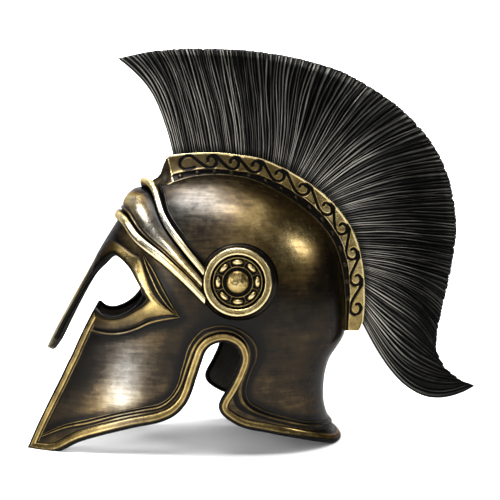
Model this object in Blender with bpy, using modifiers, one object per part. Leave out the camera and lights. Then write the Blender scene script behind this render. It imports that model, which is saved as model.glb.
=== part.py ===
"""A crested bronze helmet of the Corinthian kind, at its real size.

Metres, +Z up. The face looks along -Y, the mirror plane is X = 0 and the
helmet rests on Z = 0 on the tips of its cheek guards and on its nape.
"""
import math

import bmesh
import bpy
import numpy as np
from mathutils import Vector
from mathutils.bvhtree import BVHTree
from mathutils.geometry import delaunay_2d_cdt

# Driving sizes of the bowl
CROWN_UP = 0.2608
BOWL_LENGTH = 0.3200
HALF_WIDTH = 0.0927
WALL = 0.0022
CLEARANCE = 0.0003

# Edge borders
EDGE_INSET = 0.0022
BORDER_WIDTH = 0.0078
BORDER_RISE = 0.0016
EYE_BORDER_RISE = 0.0014

# Brow band and its two rims
BAND_RISE = 0.0048
RIM_WIDTH = 0.0080
RIM_RISE = 0.0058
RIM_GAP = 0.0006

# Roundels over the temples
ROUNDEL_RADIUS = 0.0302
ROUNDEL_STEP = 0.0026
ROUNDEL_LIFT = 0.0024
RING_WIDTH = 0.0062
RING_RISE = 0.0036
ROSETTE_RADIUS = 0.0226
ROSETTE_PLATE = 0.0010
PETALS = 8
PETAL_LENGTH = 0.0088
PETAL_RISE = 0.0019
BOSS_RADIUS = 0.0100
PETAL_ROOT = 1.25
BOSS_RISE = 0.0042

# Crest holder along the middle of the bowl
HOLDER_HALF_WIDTH = 0.0195
HOLDER_HEIGHT = 0.0205
HOLDER_FOOT = 0.0018
FRIEZE_HEIGHT = 0.0140
STRIP_INSET = 0.0016

# Plume
PLUME_HALF_THICK = 0.0140
PLUME_TOP = 0.3810
PLUME_REACH = 0.2320
LOCKS = 27
LOCK_DEPTH = 0.0030
LOCK_STEP = 0.0036

# Middle of the whole thing along Y, measured from the bowl's own zero
MIDDLE_Y = 0.0079

# Sections of the bowl from the crown down to the floor and a little below it.
# up is a share of CROWN_UP, front, back and belly of BOWL_LENGTH, wide of
# HALF_WIDTH. nose, cheek, nape and flank are the handles of the quarter curves.
SECTION_COLUMNS = ("up", "front", "back", "wide", "belly", "nose", "cheek", "nape", "flank")
SECTIONS = (
    (1.000, -0.128, -0.128, 0.000, -0.128, 0.55, 0.55, 0.55, 0.55),
    (0.994, -0.212, -0.062, 0.185, -0.126, 0.54, 0.55, 0.55, 0.55),
    (0.980, -0.274, 0.004, 0.340, -0.120, 0.52, 0.55, 0.55, 0.55),
    (0.953, -0.325, 0.056, 0.490, -0.113, 0.50, 0.54, 0.55, 0.55),
    (0.916, -0.355, 0.110, 0.628, -0.106, 0.48, 0.53, 0.55, 0.55),
    (0.867, -0.388, 0.166, 0.766, -0.094, 0.46, 0.53, 0.55, 0.55),
    (0.805, -0.421, 0.220, 0.874, -0.078, 0.42, 0.54, 0.55, 0.55),
    (0.729, -0.459, 0.263, 0.954, -0.059, 0.35, 0.55, 0.55, 0.55),
    (0.644, -0.497, 0.285, 0.992, -0.044, 0.28, 0.54, 0.55, 0.55),
    (0.560, -0.536, 0.294, 1.000, -0.028, 0.23, 0.53, 0.55, 0.55),
    (0.491, -0.567, 0.297, 0.982, -0.016, 0.21, 0.52, 0.56, 0.55),
    (0.433, -0.593, 0.296, 0.949, -0.006, 0.20, 0.51, 0.58, 0.55),
    (0.391, -0.610, 0.293, 0.920, 0.000, 0.20, 0.50, 0.58, 0.55),
    (0.349, -0.626, 0.272, 0.887, 0.006, 0.20, 0.50, 0.58, 0.55),
    (0.307, -0.639, 0.248, 0.863, 0.006, 0.20, 0.50, 0.58, 0.55),
    (0.253, -0.654, 0.233, 0.848, 0.006, 0.20, 0.50, 0.58, 0.55),
    (0.192, -0.671, 0.227, 0.837, 0.006, 0.20, 0.50, 0.58, 0.55),
    (0.130, -0.686, 0.229, 0.838, 0.006, 0.19, 0.50, 0.58, 0.55),
    (0.069, -0.702, 0.244, 0.857, 0.006, 0.18, 0.50, 0.58, 0.55),
    (0.000, -0.717, 0.278, 0.906, 0.009, 0.17, 0.50, 0.58, 0.55),
    (-0.046, -0.728, 0.305, 0.949, 0.009, 0.17, 0.50, 0.58, 0.55),
)
LAST_ROW = len(SECTIONS) - 1

# Free edge of the left half, from the tip of the nasal to the middle of the
# nape. A row is seen from the front (x as a share of HALF_WIDTH) or from the
# side (y as a share of BOWL_LENGTH); up is a share of CROWN_UP. A corner row
# ends a smooth run.
EDGE = (
    ("front", 0.000, 0.358, "corner"),
    ("front", 0.075, 0.363, "smooth"),
    ("front", 0.110, 0.392, "corner"),
    ("front", 0.122, 0.470, "smooth"),
    ("front", 0.150, 0.560, "smooth"),
    ("front", 0.198, 0.628, "smooth"),
    ("front", 0.262, 0.668, "smooth"),
    ("side", -0.419, 0.703, "smooth"),
    ("side", -0.398, 0.693, "smooth"),
    ("side", -0.371, 0.659, "smooth"),
    ("side", -0.352, 0.618, "smooth"),
    ("side", -0.337, 0.584, "smooth"),
    ("side", -0.326, 0.556, "corner"),
    ("side", -0.334, 0.543, "smooth"),
    ("side", -0.355, 0.522, "smooth"),
    ("side", -0.388, 0.498, "smooth"),
    ("side", -0.420, 0.487, "smooth"),
    ("side", -0.447, 0.492, "smooth"),
    ("side", -0.471, 0.513, "corner"),
    ("side", -0.499, 0.452, "smooth"),
    ("side", -0.533, 0.364, "smooth"),
    ("side", -0.578, 0.250, "smooth"),
    ("side", -0.624, 0.138, "smooth"),
    ("side", -0.655, 0.057, "smooth"),
    ("side", -0.677, -0.004, "corner"),
    ("side", -0.595, -0.004, "smooth"),
    ("side", -0.518, 0.042, "smooth"),
    ("side", -0.374, 0.097, "smooth"),
    ("side", -0.289, 0.122, "smooth"),
    ("side", -0.247, 0.147, "smooth"),
    ("side", -0.219, 0.183, "smooth"),
    ("side", -0.204, 0.218, "smooth"),
    ("side", -0.185, 0.289, "smooth"),
    ("side", -0.163, 0.372, "smooth"),
    ("side", -0.139, 0.401, "smooth"),
    ("side", -0.106, 0.408, "smooth"),
    ("side", -0.078, 0.390, "smooth"),
    ("side", -0.065, 0.350, "smooth"),
    ("side", -0.076, 0.299, "smooth"),
    ("side", -0.098, 0.243, "smooth"),
    ("side", -0.118, 0.201, "smooth"),
    ("side", -0.123, 0.178, "smooth"),
    ("side", -0.115, 0.152, "smooth"),
    ("side", -0.065, 0.109, "smooth"),
    ("side", 0.021, 0.082, "smooth"),
    ("side", 0.111, 0.053, "smooth"),
    ("side", 0.175, 0.029, "smooth"),
    ("side", 0.238, 0.004, "smooth"),
    ("nape", 2.000, -0.004, "corner"),
)

# Outer line of the eye border on the left side, seen like the edge rows: over
# the brow to the spike behind the eye, then back under the eye to the cheek.
EYE_LINE = (
    ("front", 0.095, 0.668, "corner"),
    ("front", 0.135, 0.725, "smooth"),
    ("side", -0.432, 0.757, "smooth"),
    ("side", -0.398, 0.739, "smooth"),
    ("side", -0.371, 0.697, "smooth"),
    ("side", -0.336, 0.636, "smooth"),
    ("side", -0.298, 0.578, "smooth"),
    ("side", -0.236, 0.498, "corner"),
    ("side", -0.273, 0.490, "smooth"),
    ("side", -0.315, 0.464, "smooth"),
    ("side", -0.371, 0.436, "smooth"),
    ("side", -0.414, 0.420, "smooth"),
    ("side", -0.452, 0.425, "smooth"),
    ("side", -0.486, 0.441, "corner"),
)
# Rise of the eye border across its width, as shares of EYE_BORDER_RISE
EYE_PROFILE = ((0.0, 0.35), (0.18, 1.0), (0.55, 0.75), (0.86, 0.55), (1.0, 0.0))
# Rise of an edge border across its width, as shares of BORDER_RISE
BORDER_PROFILE = ((0.0, 0.45), (0.22, 1.0), (0.70, 0.90), (1.0, 0.0))

# Lower and upper lines of the brow band on the left side, from the middle of
# the forehead to the roundel.
BAND_LOWER = (
    ("front", 0.000, 0.850, "corner"),
    ("front", 0.300, 0.826, "smooth"),
    ("side", -0.341, 0.757, "smooth"),
    ("side", -0.272, 0.689, "smooth"),
    ("side", -0.205, 0.612, "smooth"),
    ("side", -0.162, 0.556, "corner"),
)
BAND_UPPER = (
    ("front", 0.000, 0.958, "corner"),
    ("front", 0.280, 0.942, "smooth"),
    ("side", -0.267, 0.822, "smooth"),
    ("side", -0.217, 0.730, "smooth"),
    ("side", -0.170, 0.657, "smooth"),
    ("side", -0.154, 0.628, "corner"),
)
# Rise of the brow band from its lower to its upper side, shares of BAND_RISE
BAND_PROFILE = ((0.0, 0.55), (0.3, 1.0), (0.7, 0.95), (1.0, 0.5))
# Rise of a rim across its width, as shares of its rise
RIM_PROFILE = ((0.0, 0.25), (0.25, 0.9), (0.6, 1.0), (1.0, 0.3))

# Centre of a roundel, seen from the side, as shares of BOWL_LENGTH and CROWN_UP
ROUNDEL_CENTRE = (-0.0756, 0.6158)

# Crest holder: its reach along the middle line of the bowl as up shares of
# CROWN_UP, in front and behind, and its height along that reach.
HOLDER_FRONT_UP = 0.969
HOLDER_BACK_UP = 0.402
HOLDER_COLUMNS = ("along", "height")
HOLDER_RISE = (
    (0.000, 0.08),
    (0.018, 0.12),
    (0.034, 0.30),
    (0.046, 0.60),
    (0.056, 0.84),
    (0.068, 0.97),
    (0.130, 0.97),
    (0.280, 0.98),
    (0.400, 1.05),
    (0.550, 1.12),
    (0.660, 1.06),
    (0.800, 0.97),
    (0.900, 0.88),
    (0.965, 0.80),
    (0.990, 0.70),
    (1.000, 0.58),
)

# Plume: places of its root line along the holder, with tips as shares of
# PLUME_REACH (y) and PLUME_TOP (up), and the angles in degrees at which the
# locks leave the root and reach the tip, from +Y turning up.
PLUME_COLUMNS = ("root", "reach", "up", "leave", "arrive", "bow", "thick")
PLUME_ROWS = (
    (0.000, -0.543, 0.973, 112.0, 146.0, 0.36, 0.45),
    (0.045, -0.420, 0.990, 106.0, 126.0, 0.36, 0.85),
    (0.110, -0.310, 0.997, 101.0, 111.0, 0.36, 1.00),
    (0.180, -0.195, 1.000, 97.0, 101.0, 0.36, 1.00),
    (0.280, -0.010, 0.998, 87.0, 91.0, 0.36, 1.00),
    (0.370, 0.195, 0.982, 74.0, 70.0, 0.36, 1.00),
    (0.460, 0.395, 0.950, 62.0, 55.0, 0.36, 1.00),
    (0.550, 0.575, 0.892, 48.0, 40.0, 0.36, 1.00),
    (0.640, 0.735, 0.815, 34.0, 26.0, 0.36, 1.00),
    (0.720, 0.860, 0.705, 20.0, 10.0, 0.36, 1.00),
    (0.790, 0.912, 0.560, 8.0, -8.0, 0.36, 1.00),
    (0.850, 0.892, 0.440, -6.0, -26.0, 0.36, 1.00),
    (0.900, 0.850, 0.325, -20.0, -52.0, 0.38, 0.95),
    (0.940, 0.828, 0.240, -34.0, -62.0, 0.40, 0.90),
    (0.970, 0.850, 0.185, -44.0, -44.0, 0.42, 0.80),
    (0.988, 0.915, 0.140, -52.0, -10.0, 0.44, 0.70),
    (1.000, 1.000, 0.110, -62.0, 28.0, 0.46, 0.40),
)
# Half thickness of the plume from its root to its outer edge, as shares
PLUME_ACROSS = ((0.0, 0.84), (0.14, 0.94), (0.34, 1.0), (0.58, 0.97), (0.80, 0.84), (0.93, 0.64), (1.0, 0.32))
# Where the root line starts and ends along the crest holder
PLUME_FIRST = 0.072
PLUME_LAST = 0.984

# Spacing of facets and sections
BOWL_SPACING = 0.0142
EDGE_STEP = 0.0030
BORDER_STEP = 0.0080
HOLDER_STEP = 0.0115
HOLDER_SOLES = (1.0, 0.66, 0.33, 0.0)
EYE_STATIONS = (17, 12)
BAND_STATIONS = 16
ROUNDEL_SIDES = 24
SEAT_GAP = 0.0008
SOLE_GAP = 0.00045
SOLE_SHARES = (0.0, 0.25, 0.5, 0.75, 1.0)
STOP_GAP = 0.0009

# Runs of the edge table: cheek guard front, then its foot, ear and nape
CHEEK_RUN = 3
NAPE_RUN = 4
CHEEK_START = 0.19
EYE_RUN = 1
EYE_START = 0.47
# Place over the ear where the cheek border meets the nape border
BORDER_SPLIT = (-0.106, 0.408)
JOINT_GAP = 0.0004


def spline(points, share):
    """Centripetal curve through points at shares 0..1 of its chord length."""
    points = np.asarray(points, float)
    steps = np.linalg.norm(np.diff(points, axis=0), axis=1) ** 0.5
    knots = np.concatenate([[0.0], np.cumsum(steps)])
    first = 2.0 * points[0] - points[1]
    last = 2.0 * points[-1] - points[-2]
    points = np.vstack([first, points, last])
    knots = np.concatenate([[-steps[0]], knots, [knots[-1] + steps[-1]]])
    place = np.clip(share, 0.0, 1.0) * knots[-2]
    span = int(np.clip(np.searchsorted(knots, place, side="right") - 1, 1, len(knots) - 3))
    k0, k1, k2, k3 = knots[span - 1:span + 3]
    p0, p1, p2, p3 = points[span - 1:span + 3]
    a1 = (k1 - place) / (k1 - k0) * p0 + (place - k0) / (k1 - k0) * p1
    a2 = (k2 - place) / (k2 - k1) * p1 + (place - k1) / (k2 - k1) * p2
    a3 = (k3 - place) / (k3 - k2) * p2 + (place - k2) / (k3 - k2) * p3
    b1 = (k2 - place) / (k2 - k0) * a1 + (place - k0) / (k2 - k0) * a2
    b2 = (k3 - place) / (k3 - k1) * a2 + (place - k1) / (k3 - k1) * a3
    return (k2 - place) / (k2 - k1) * b1 + (place - k1) / (k2 - k1) * b2


def bezier(a, b, c, d, t):
    """Cubic curve from a to d with handles b and c."""
    s = 1.0 - t
    return s * s * s * a + 3.0 * s * s * t * b + 3.0 * s * t * t * c + t * t * t * d


def rows_in_metres():
    """The section table with its shares turned into lengths."""
    scale = [CROWN_UP, BOWL_LENGTH, BOWL_LENGTH, HALF_WIDTH, BOWL_LENGTH, 1.0, 1.0, 1.0, 1.0]
    return np.array(SECTIONS) * np.array(scale)


ROWS = rows_in_metres()


def section(v):
    """Rows of the bowl at row places v, smooth from row to row and over the crown."""
    v = np.clip(np.asarray(v, float), 0.0, LAST_ROW)
    i = np.minimum(v.astype(int), LAST_ROW - 1)
    f = (v - i)[..., None]
    over_crown = ROWS[1].copy()
    over_crown[1:5] = 2.0 * ROWS[0][1:5] - ROWS[1][1:5]
    padded = np.vstack([over_crown, ROWS, 2.0 * ROWS[-1] - ROWS[-2]])
    p0, p1, p2, p3 = (padded[i + k] for k in range(4))
    return 0.5 * (2.0 * p1 + (p2 - p0) * f + (2.0 * p0 - 5.0 * p1 + 4.0 * p2 - p3) * f * f
                  + (3.0 * p1 - p0 - 3.0 * p2 + p3) * f ** 3)


def skin(t, v):
    """Points of the bowl's outer face: t 0 in front, 1 at the side, 2 behind."""
    t = np.asarray(t, float)
    up, front, back, wide, belly, nose, cheek, nape, flank = np.moveaxis(section(v), -1, 0)
    ahead = t <= 1.0
    s = np.where(ahead, t, 2.0 - t)
    end = np.where(ahead, front, back)
    near = np.where(ahead, nose, nape)
    far = np.where(ahead, cheek, flank)
    x = bezier(0.0, near * wide, wide, wide, s)
    y = bezier(end, end, belly + far * (end - belly), belly, s)
    return np.stack([x, y, up + 0.0 * x], axis=-1)


# The bowl's skin rolled out flat: arc lengths along the sections and down the side
FLAT_V = np.linspace(0.0, LAST_ROW, 8 * LAST_ROW + 1)
FLAT_T = np.linspace(0.0, 2.0, 161)
FLAT_POINTS = skin(FLAT_T[None, :] + 0.0 * FLAT_V[:, None], FLAT_V[:, None] + 0.0 * FLAT_T[None, :])
FLAT_ALONG = np.concatenate([np.zeros((len(FLAT_V), 1)),
                             np.cumsum(np.linalg.norm(np.diff(FLAT_POINTS, axis=1), axis=2), axis=1)],
                            axis=1)
FLAT_ALONG -= FLAT_ALONG[:, 80:81]
FLAT_DOWN = np.concatenate([[0.0], np.cumsum(np.linalg.norm(np.diff(FLAT_POINTS[:, 80], axis=0), axis=1))])


def flat(t, v):
    """Place on the rolled-out skin."""
    row = np.clip(v / LAST_ROW * (len(FLAT_V) - 1), 0, len(FLAT_V) - 1.000001)
    i = int(row)
    along = (1 - row + i) * FLAT_ALONG[i] + (row - i) * FLAT_ALONG[i + 1]
    return np.array([np.interp(t, FLAT_T, along), -np.interp(v, FLAT_V, FLAT_DOWN)])


def unroll(place):
    """t and v of a place on the rolled-out skin."""
    v = float(np.interp(-place[1], FLAT_DOWN, FLAT_V))
    row = np.clip(v / LAST_ROW * (len(FLAT_V) - 1), 0, len(FLAT_V) - 1.000001)
    i = int(row)
    along = (1 - row + i) * FLAT_ALONG[i] + (row - i) * FLAT_ALONG[i + 1]
    return float(np.interp(place[0], along, FLAT_T)), v


def find_skin(view, across, up):
    """t and v of a table row: seen from the front, from the side or on the nape."""
    heights = section(FLAT_V)[:, 0]
    v = float(np.interp(-up * CROWN_UP, -heights, FLAT_V))
    if view == "nape":
        return across, v
    line = skin(FLAT_T, v + 0.0 * FLAT_T)
    if view == "front":
        return float(np.interp(across * HALF_WIDTH, line[:81, 0], FLAT_T[:81])), v
    return float(np.interp(across * BOWL_LENGTH, line[:, 1], FLAT_T)), v


def smooth_runs(table):
    """Rolled-out points of a table, split into smooth runs at its corners."""
    runs = []
    run = []
    for view, across, up, turn in table:
        place = flat(*find_skin(view, across, up))
        run.append(place)
        if turn == "corner" and len(run) > 1:
            runs.append(np.array(run))
            run = [place]
    return runs


def run_pairs(run, shares):
    """t, v pairs at shares of the length of one smooth run."""
    dense = np.array([spline(run, s) for s in np.linspace(0.0, 1.0, 24 * len(run))])
    along = np.concatenate([[0.0], np.cumsum(np.linalg.norm(np.diff(dense, axis=0), axis=1))])
    marks = np.asarray(shares) * along[-1]
    return [unroll((np.interp(m, along, dense[:, 0]), np.interp(m, along, dense[:, 1]))) for m in marks]


def sample_run(run, spacing):
    """Evenly spaced t, v pairs along one smooth run, both ends included."""
    ends = np.array([spline(run, s) for s in np.linspace(0.0, 1.0, 24 * len(run))])
    length = np.linalg.norm(np.diff(ends, axis=0), axis=1).sum()
    count = max(2, int(round(length / spacing)) + 1)
    return run_pairs(run, np.linspace(0.0, 1.0, count))


def skin_normal(t, v):
    """Unit normal of the bowl's outer face, pointing out."""
    step = 1e-3
    v = max(v, 5.0 * step)
    across = skin(min(t + step, 2.0), v) - skin(max(t - step, 0.0), v)
    down = skin(t, min(v + step, LAST_ROW)) - skin(t, v - step)
    normal = np.cross(down, across)
    return normal / np.linalg.norm(normal)


def inside(place, outline):
    """Whether a flat place lies inside a closed outline."""
    x, y = place
    ahead = np.roll(outline, -1, axis=0)
    crosses = (outline[:, 1] > y) != (ahead[:, 1] > y)
    rise = np.where(crosses, ahead[:, 1] - outline[:, 1], 1.0)
    at = outline[:, 0] + (y - outline[:, 1]) / rise * (ahead[:, 0] - outline[:, 0])
    return bool(np.count_nonzero(crosses & (x < at)) % 2)


def half_bowl(spacing):
    """Triangles of the left half of the bowl's outer face, and its edge pairs."""
    edge = []
    for run in smooth_runs(EDGE):
        edge += sample_run(run, spacing * 0.62)[:-1]
    last = find_skin(*EDGE[-1][:3])
    front_end = edge[0][1]
    back_end = last[1]
    down = FLAT_DOWN[-1]
    front = [(0.0, v) for v in even_rows(0.0, front_end, 0.0, spacing)[1:-1]]
    back = [(2.0, v) for v in even_rows(0.0, back_end, 2.0, spacing)[1:-1]]
    loop = [(1.0, 0.0)] + front + edge + [last] + back[::-1]
    outline = np.array([flat(t, v) for t, v in loop])
    pairs = list(loop)
    places = list(outline)
    rows = int(round(down / spacing))
    for i in range(1, rows):
        v = float(np.interp(down * i / rows, FLAT_DOWN, FLAT_V))
        left, right = flat(0.0, v)[0], flat(2.0, v)[0]
        columns = max(2, int(round((right - left) / spacing)))
        for j in range(1, columns):
            shift = 0.5 if i % 2 else 0.0
            place = np.array([left + (right - left) * (j - shift) / columns, flat(1.0, v)[1]])
            near = np.min(np.linalg.norm(outline - place, axis=1))
            if near > 0.55 * spacing and inside(place, outline):
                places.append(place)
                pairs.append(unroll(place))
    scale = 1000.0
    points = [Vector((x * scale, y * scale)) for x, y in places]
    found = delaunay_2d_cdt(points, [], [list(range(len(loop)))], 1, 1e-4)
    origins = [sources[0] for sources in found[3]]
    bm = bmesh.new()
    verts = [bm.verts.new(skin(*pairs[k])) for k in origins]
    for face in found[2]:
        bm.faces.new([verts[k] for k in face])
    bmesh.ops.recalc_face_normals(bm, faces=bm.faces)
    outward = sum(f.normal.x * f.calc_area() for f in bm.faces)
    if outward < 0.0:
        bmesh.ops.reverse_faces(bm, faces=bm.faces)
    return bm


def even_rows(first, last, t, spacing):
    """Row places at even distances down the line of constant t."""
    dense = np.linspace(first, last, 200)
    line = skin(t + 0.0 * dense, dense)
    along = np.concatenate([[0.0], np.cumsum(np.linalg.norm(np.diff(line, axis=0), axis=1))])
    count = max(2, int(round(along[-1] / spacing)) + 1)
    return list(np.interp(np.linspace(0.0, along[-1], count), along, dense))


class Ground:
    """The bowl's faceted outer face, on which everything else is seated."""

    def __init__(self, half):
        both = half.copy()
        mirrored = bmesh.ops.duplicate(both, geom=both.verts[:] + both.edges[:] + both.faces[:])
        turned = [g for g in mirrored["geom"] if isinstance(g, bmesh.types.BMVert)]
        for vert in turned:
            vert.co.x = -vert.co.x
        flipped = [g for g in mirrored["geom"] if isinstance(g, bmesh.types.BMFace)]
        bmesh.ops.reverse_faces(both, faces=flipped)
        bmesh.ops.remove_doubles(both, verts=both.verts[:], dist=1e-5)
        both.normal_update()
        both.faces.ensure_lookup_table()
        self.mesh = both
        self.tree = BVHTree.FromBMesh(both)

    def seat(self, point):
        """Nearest place on the facets and the smooth normal there."""
        place, _, index, _ = self.tree.find_nearest(Vector(point))
        return np.array(place), self.smooth(index, place)

    def drop(self, start, direction):
        """Where a straight line meets the facets."""
        place = self.tree.ray_cast(Vector(start), Vector(direction))[0]
        return None if place is None else np.array(place)

    def smooth(self, index, place):
        """Normal blended from the corners of one facet."""
        normal = Vector((0.0, 0.0, 0.0))
        for vert in self.mesh.faces[index].verts:
            normal += vert.normal / max((vert.co - place).length, 1e-6)
        return np.array(normal.normalized())


def face_out(bm):
    """Turn the faces of a body, or of a half that is open at X = 0, outward."""
    bmesh.ops.recalc_face_normals(bm, faces=bm.faces)
    volume = sum(f.calc_center_median().dot(f.normal) * f.calc_area() for f in bm.faces)
    if volume < 0.0:
        bmesh.ops.reverse_faces(bm, faces=bm.faces)


def new_object(name, bm, material, collection, smooth=False):
    """Put a mesh into a named object of a collection."""
    mesh = bpy.data.meshes.new(name)
    bm.to_mesh(mesh)
    bm.free()
    mesh.materials.append(material)
    obj = bpy.data.objects.new(name, mesh)
    collection.objects.link(obj)
    for polygon in mesh.polygons:
        polygon.use_smooth = smooth
    return obj


def close_flat(bm, ring):
    """Close a flat end with one face."""
    bm.faces.new(ring)


def close_ladder(bm, ring):
    """Close an end that isn't flat with rungs from the crest to the sole."""
    count = len(ring)
    for k in range((count - 1) // 2):
        corners = [ring[-k], ring[k + 1], ring[k + 2], ring[-k - 1]]
        bm.faces.new(list(dict.fromkeys(corners)))


def loft(sections, close, cap_first=True, cap_last=True):
    """Skin closed sections with the same number of points into one body."""
    bm = bmesh.new()
    rings = [[bm.verts.new(p) for p in ring] for ring in sections]
    count = len(rings[0])
    for here, there in zip(rings, rings[1:]):
        for k in range(count):
            n = (k + 1) % count
            bm.faces.new((here[k], here[n], there[n], there[k]))
    if cap_first:
        close(bm, rings[0])
    if cap_last:
        close(bm, rings[-1])
    return bm


def lay(ground, low, high, profile, rise, gap):
    """One section of a strip from low to high across the bowl, with its profile."""
    normal = ground.seat(0.5 * (low + high))[1]
    ring = []
    for share, height in profile:
        foot = ground.seat(low + (high - low) * share)[0]
        ring.append(foot + normal * (gap + rise * height))
    return ring


class EdgePath:
    """The free edge in space, run by run, with offsets into the metal."""

    def __init__(self, table, spacing):
        self.runs = []
        for run in smooth_runs(table):
            pairs = sample_run(run, spacing)
            points = np.array([skin(t, v) for t, v in pairs])
            normals = np.array([skin_normal(t, v) for t, v in pairs])
            ways = np.gradient(points, axis=0)
            ways /= np.linalg.norm(ways, axis=1)[:, None]
            into = np.cross(normals, ways)
            into /= np.linalg.norm(into, axis=1)[:, None]
            along = np.concatenate([[0.0], np.cumsum(np.linalg.norm(np.diff(points, axis=0), axis=1))])
            self.runs.append((along, points, ways, into))

    def turn(self, index):
        """Angle by which the edge turns into the metal after run index."""
        if index < 0 or index >= len(self.runs) - 1:
            return 0.0
        way, into = self.runs[index][2][-1], self.runs[index][3][-1]
        after = self.runs[index + 1][2][0]
        return math.atan2(float(after @ into), float(after @ way))

    def offset(self, index, share, depth):
        """Place at a share of a run, moved into the metal, mitred at its ends."""
        along, points, ways, into = self.runs[index]
        start = depth * math.tan(0.5 * self.turn(index - 1))
        end = depth * math.tan(0.5 * self.turn(index))
        at = start + (along[-1] - start - end) * share
        inner = float(np.clip(at, 0.0, along[-1]))
        place = np.array([np.interp(inner, along, points[:, k]) for k in range(3)])
        side = np.array([np.interp(inner, along, into[:, k]) for k in range(3)])
        way = np.array([np.interp(inner, along, ways[:, k]) for k in range(3)])
        return place + way * (at - inner) + side / np.linalg.norm(side) * depth


def border_lines(path, first, last, near, far, spacing, begin):
    """Two lines at depths near and far along runs first to last of an edge."""
    low = []
    high = []
    for index in range(first, last + 1):
        length = path.runs[index][0][-1]
        count = max(3, int(round(length / spacing)) + 1)
        shares = np.linspace(0.0, 1.0, count)[1:]
        if index == first:
            shares = np.linspace(begin, 1.0, count)
        low += [path.offset(index, s, near) for s in shares]
        high += [path.offset(index, s, far) for s in shares]
    return low, untangle(low, high)


def untangle(low, high):
    """Ease the inner line where it would fold back round a tight bend."""
    low = np.array(low)
    high = np.array(high)
    ways = np.gradient(low, axis=0)
    ways /= np.linalg.norm(ways, axis=1)[:, None]
    for _ in range(60):
        steps = np.einsum("ij,ij->i", np.diff(high, axis=0), 0.5 * (ways[1:] + ways[:-1]))
        gaps = np.linalg.norm(np.diff(low, axis=0), axis=1)
        tight = steps < 0.22 * gaps
        if not tight.any():
            break
        moved = high.copy()
        for k in np.nonzero(tight)[0]:
            for m in (k, k + 1):
                if 0 < m < len(high) - 1:
                    moved[m] = 0.25 * high[m - 1] + 0.5 * high[m] + 0.25 * high[m + 1]
        high = moved
    return list(high)


def metal(name, colour, roughness, metallic=1.0):
    """A plain metal or painted finish."""
    material = bpy.data.materials.new(name)
    material.use_nodes = True
    shader = material.node_tree.nodes["Principled BSDF"]
    shader.inputs["Base Color"].default_value = (*colour, 1.0)
    shader.inputs["Roughness"].default_value = roughness
    shader.inputs["Metallic"].default_value = metallic
    return material


def box_cutter(name, low, high, collection):
    """A plain box that is only used to cut."""
    bm = bmesh.new()
    bmesh.ops.create_cube(bm, size=1.0)
    size = [b - a for a, b in zip(low, high)]
    middle = [0.5 * (a + b) for a, b in zip(low, high)]
    bmesh.ops.scale(bm, vec=size, verts=bm.verts)
    bmesh.ops.translate(bm, vec=middle, verts=bm.verts)
    mesh = bpy.data.meshes.new(name)
    bm.to_mesh(mesh)
    bm.free()
    cutter = bpy.data.objects.new(name, mesh)
    cutter.hide_render = True
    cutter.display_type = "WIRE"
    collection.objects.link(cutter)
    return cutter


def cut(obj, cutter):
    """Take a cutter away from an object."""
    modifier = obj.modifiers.new(cutter.name, "BOOLEAN")
    modifier.operation = "DIFFERENCE"
    modifier.solver = "EXACT"
    modifier.object = cutter


def mirror(obj):
    """Close a half at the mirror plane with its own reflection."""
    modifier = obj.modifiers.new("Mirror", "MIRROR")
    modifier.use_axis = (True, False, False)
    modifier.use_clip = True
    modifier.merge_threshold = 0.00005


def build_shell(half, material, parts, floor):
    """Skull, cheek guards, nasal and nape: one raised wall of even thickness."""
    shell = new_object("helmet_shell", half, material, parts, smooth=True)
    mirror(shell)
    wall = shell.modifiers.new("Wall", "SOLIDIFY")
    wall.thickness = WALL
    wall.offset = -1.0
    cut(shell, floor)
    return shell


def lift_clear(ground, sections, feet, whole):
    """Raise stations whose straight soles would come too near the facets between them."""
    lifts = np.zeros(len(sections))
    for k, (here, there) in enumerate(zip(sections, sections[1:])):
        for i, j in zip(feet[1:], feet[2:] + feet[:1]):
            for along in SOLE_SHARES:
                for across in SOLE_SHARES:
                    near = here[i] + (here[j] - here[i]) * across
                    far = there[i] + (there[j] - there[i]) * across
                    point = near + (far - near) * along
                    place, normal = ground.seat(point)
                    short = SOLE_GAP - float((point - place) @ normal)
                    lifts[k:k + 2] = np.maximum(lifts[k:k + 2], short)
    raised = []
    for ring, lift in zip(sections, lifts):
        normal = ground.seat(0.5 * (ring[feet[0]] + ring[feet[1]]))[1]
        raised.append([p + normal * lift if whole or n in feet else p for n, p in enumerate(ring)])
    return raised


def strip_object(name, ground, low, high, profile, rise, material, parts, middle=False, stop=None):
    """A raised strip between two lines; middle says that it starts at X = 0."""
    feet = [n for n, (_, height) in enumerate(profile) if height == 0.0]
    sections = [lay(ground, a, b, profile, rise, CLEARANCE) for a, b in zip(low, high)]
    sections = lift_clear(ground, sections, feet, True)
    if stop:
        sections = stop_round(sections, *stop)
    if middle:
        for point in sections[0]:
            point[0] = 0.0
    bm = loft(sections, close_ladder, cap_first=not middle)
    face_out(bm)
    strip = new_object(name, bm, material, parts)
    if middle:
        mirror(strip)
    return strip


def closed_profile(profile, bottoms=()):
    """A rise profile as a loop: the near foot, the crest points, the far foot."""
    ends_low = profile[-1][1] == 0.0
    loop = [(profile[0][0], 0.0)] + list(profile)
    if not ends_low:
        loop.append((profile[-1][0], 0.0))
    return loop + [(share, 0.0) for share in bottoms]


def mirrored_copy(obj, name, parts):
    """The same piece on the wearer's right."""
    bm = bmesh.new()
    bm.from_mesh(obj.data)
    for vert in bm.verts:
        vert.co.x = -vert.co.x
    bmesh.ops.reverse_faces(bm, faces=bm.faces)
    copy = new_object(name, bm, obj.data.materials[0], parts)
    for modifier in obj.modifiers:
        if modifier.type == "BOOLEAN":
            cut(copy, modifier.object)
    return copy


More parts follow.
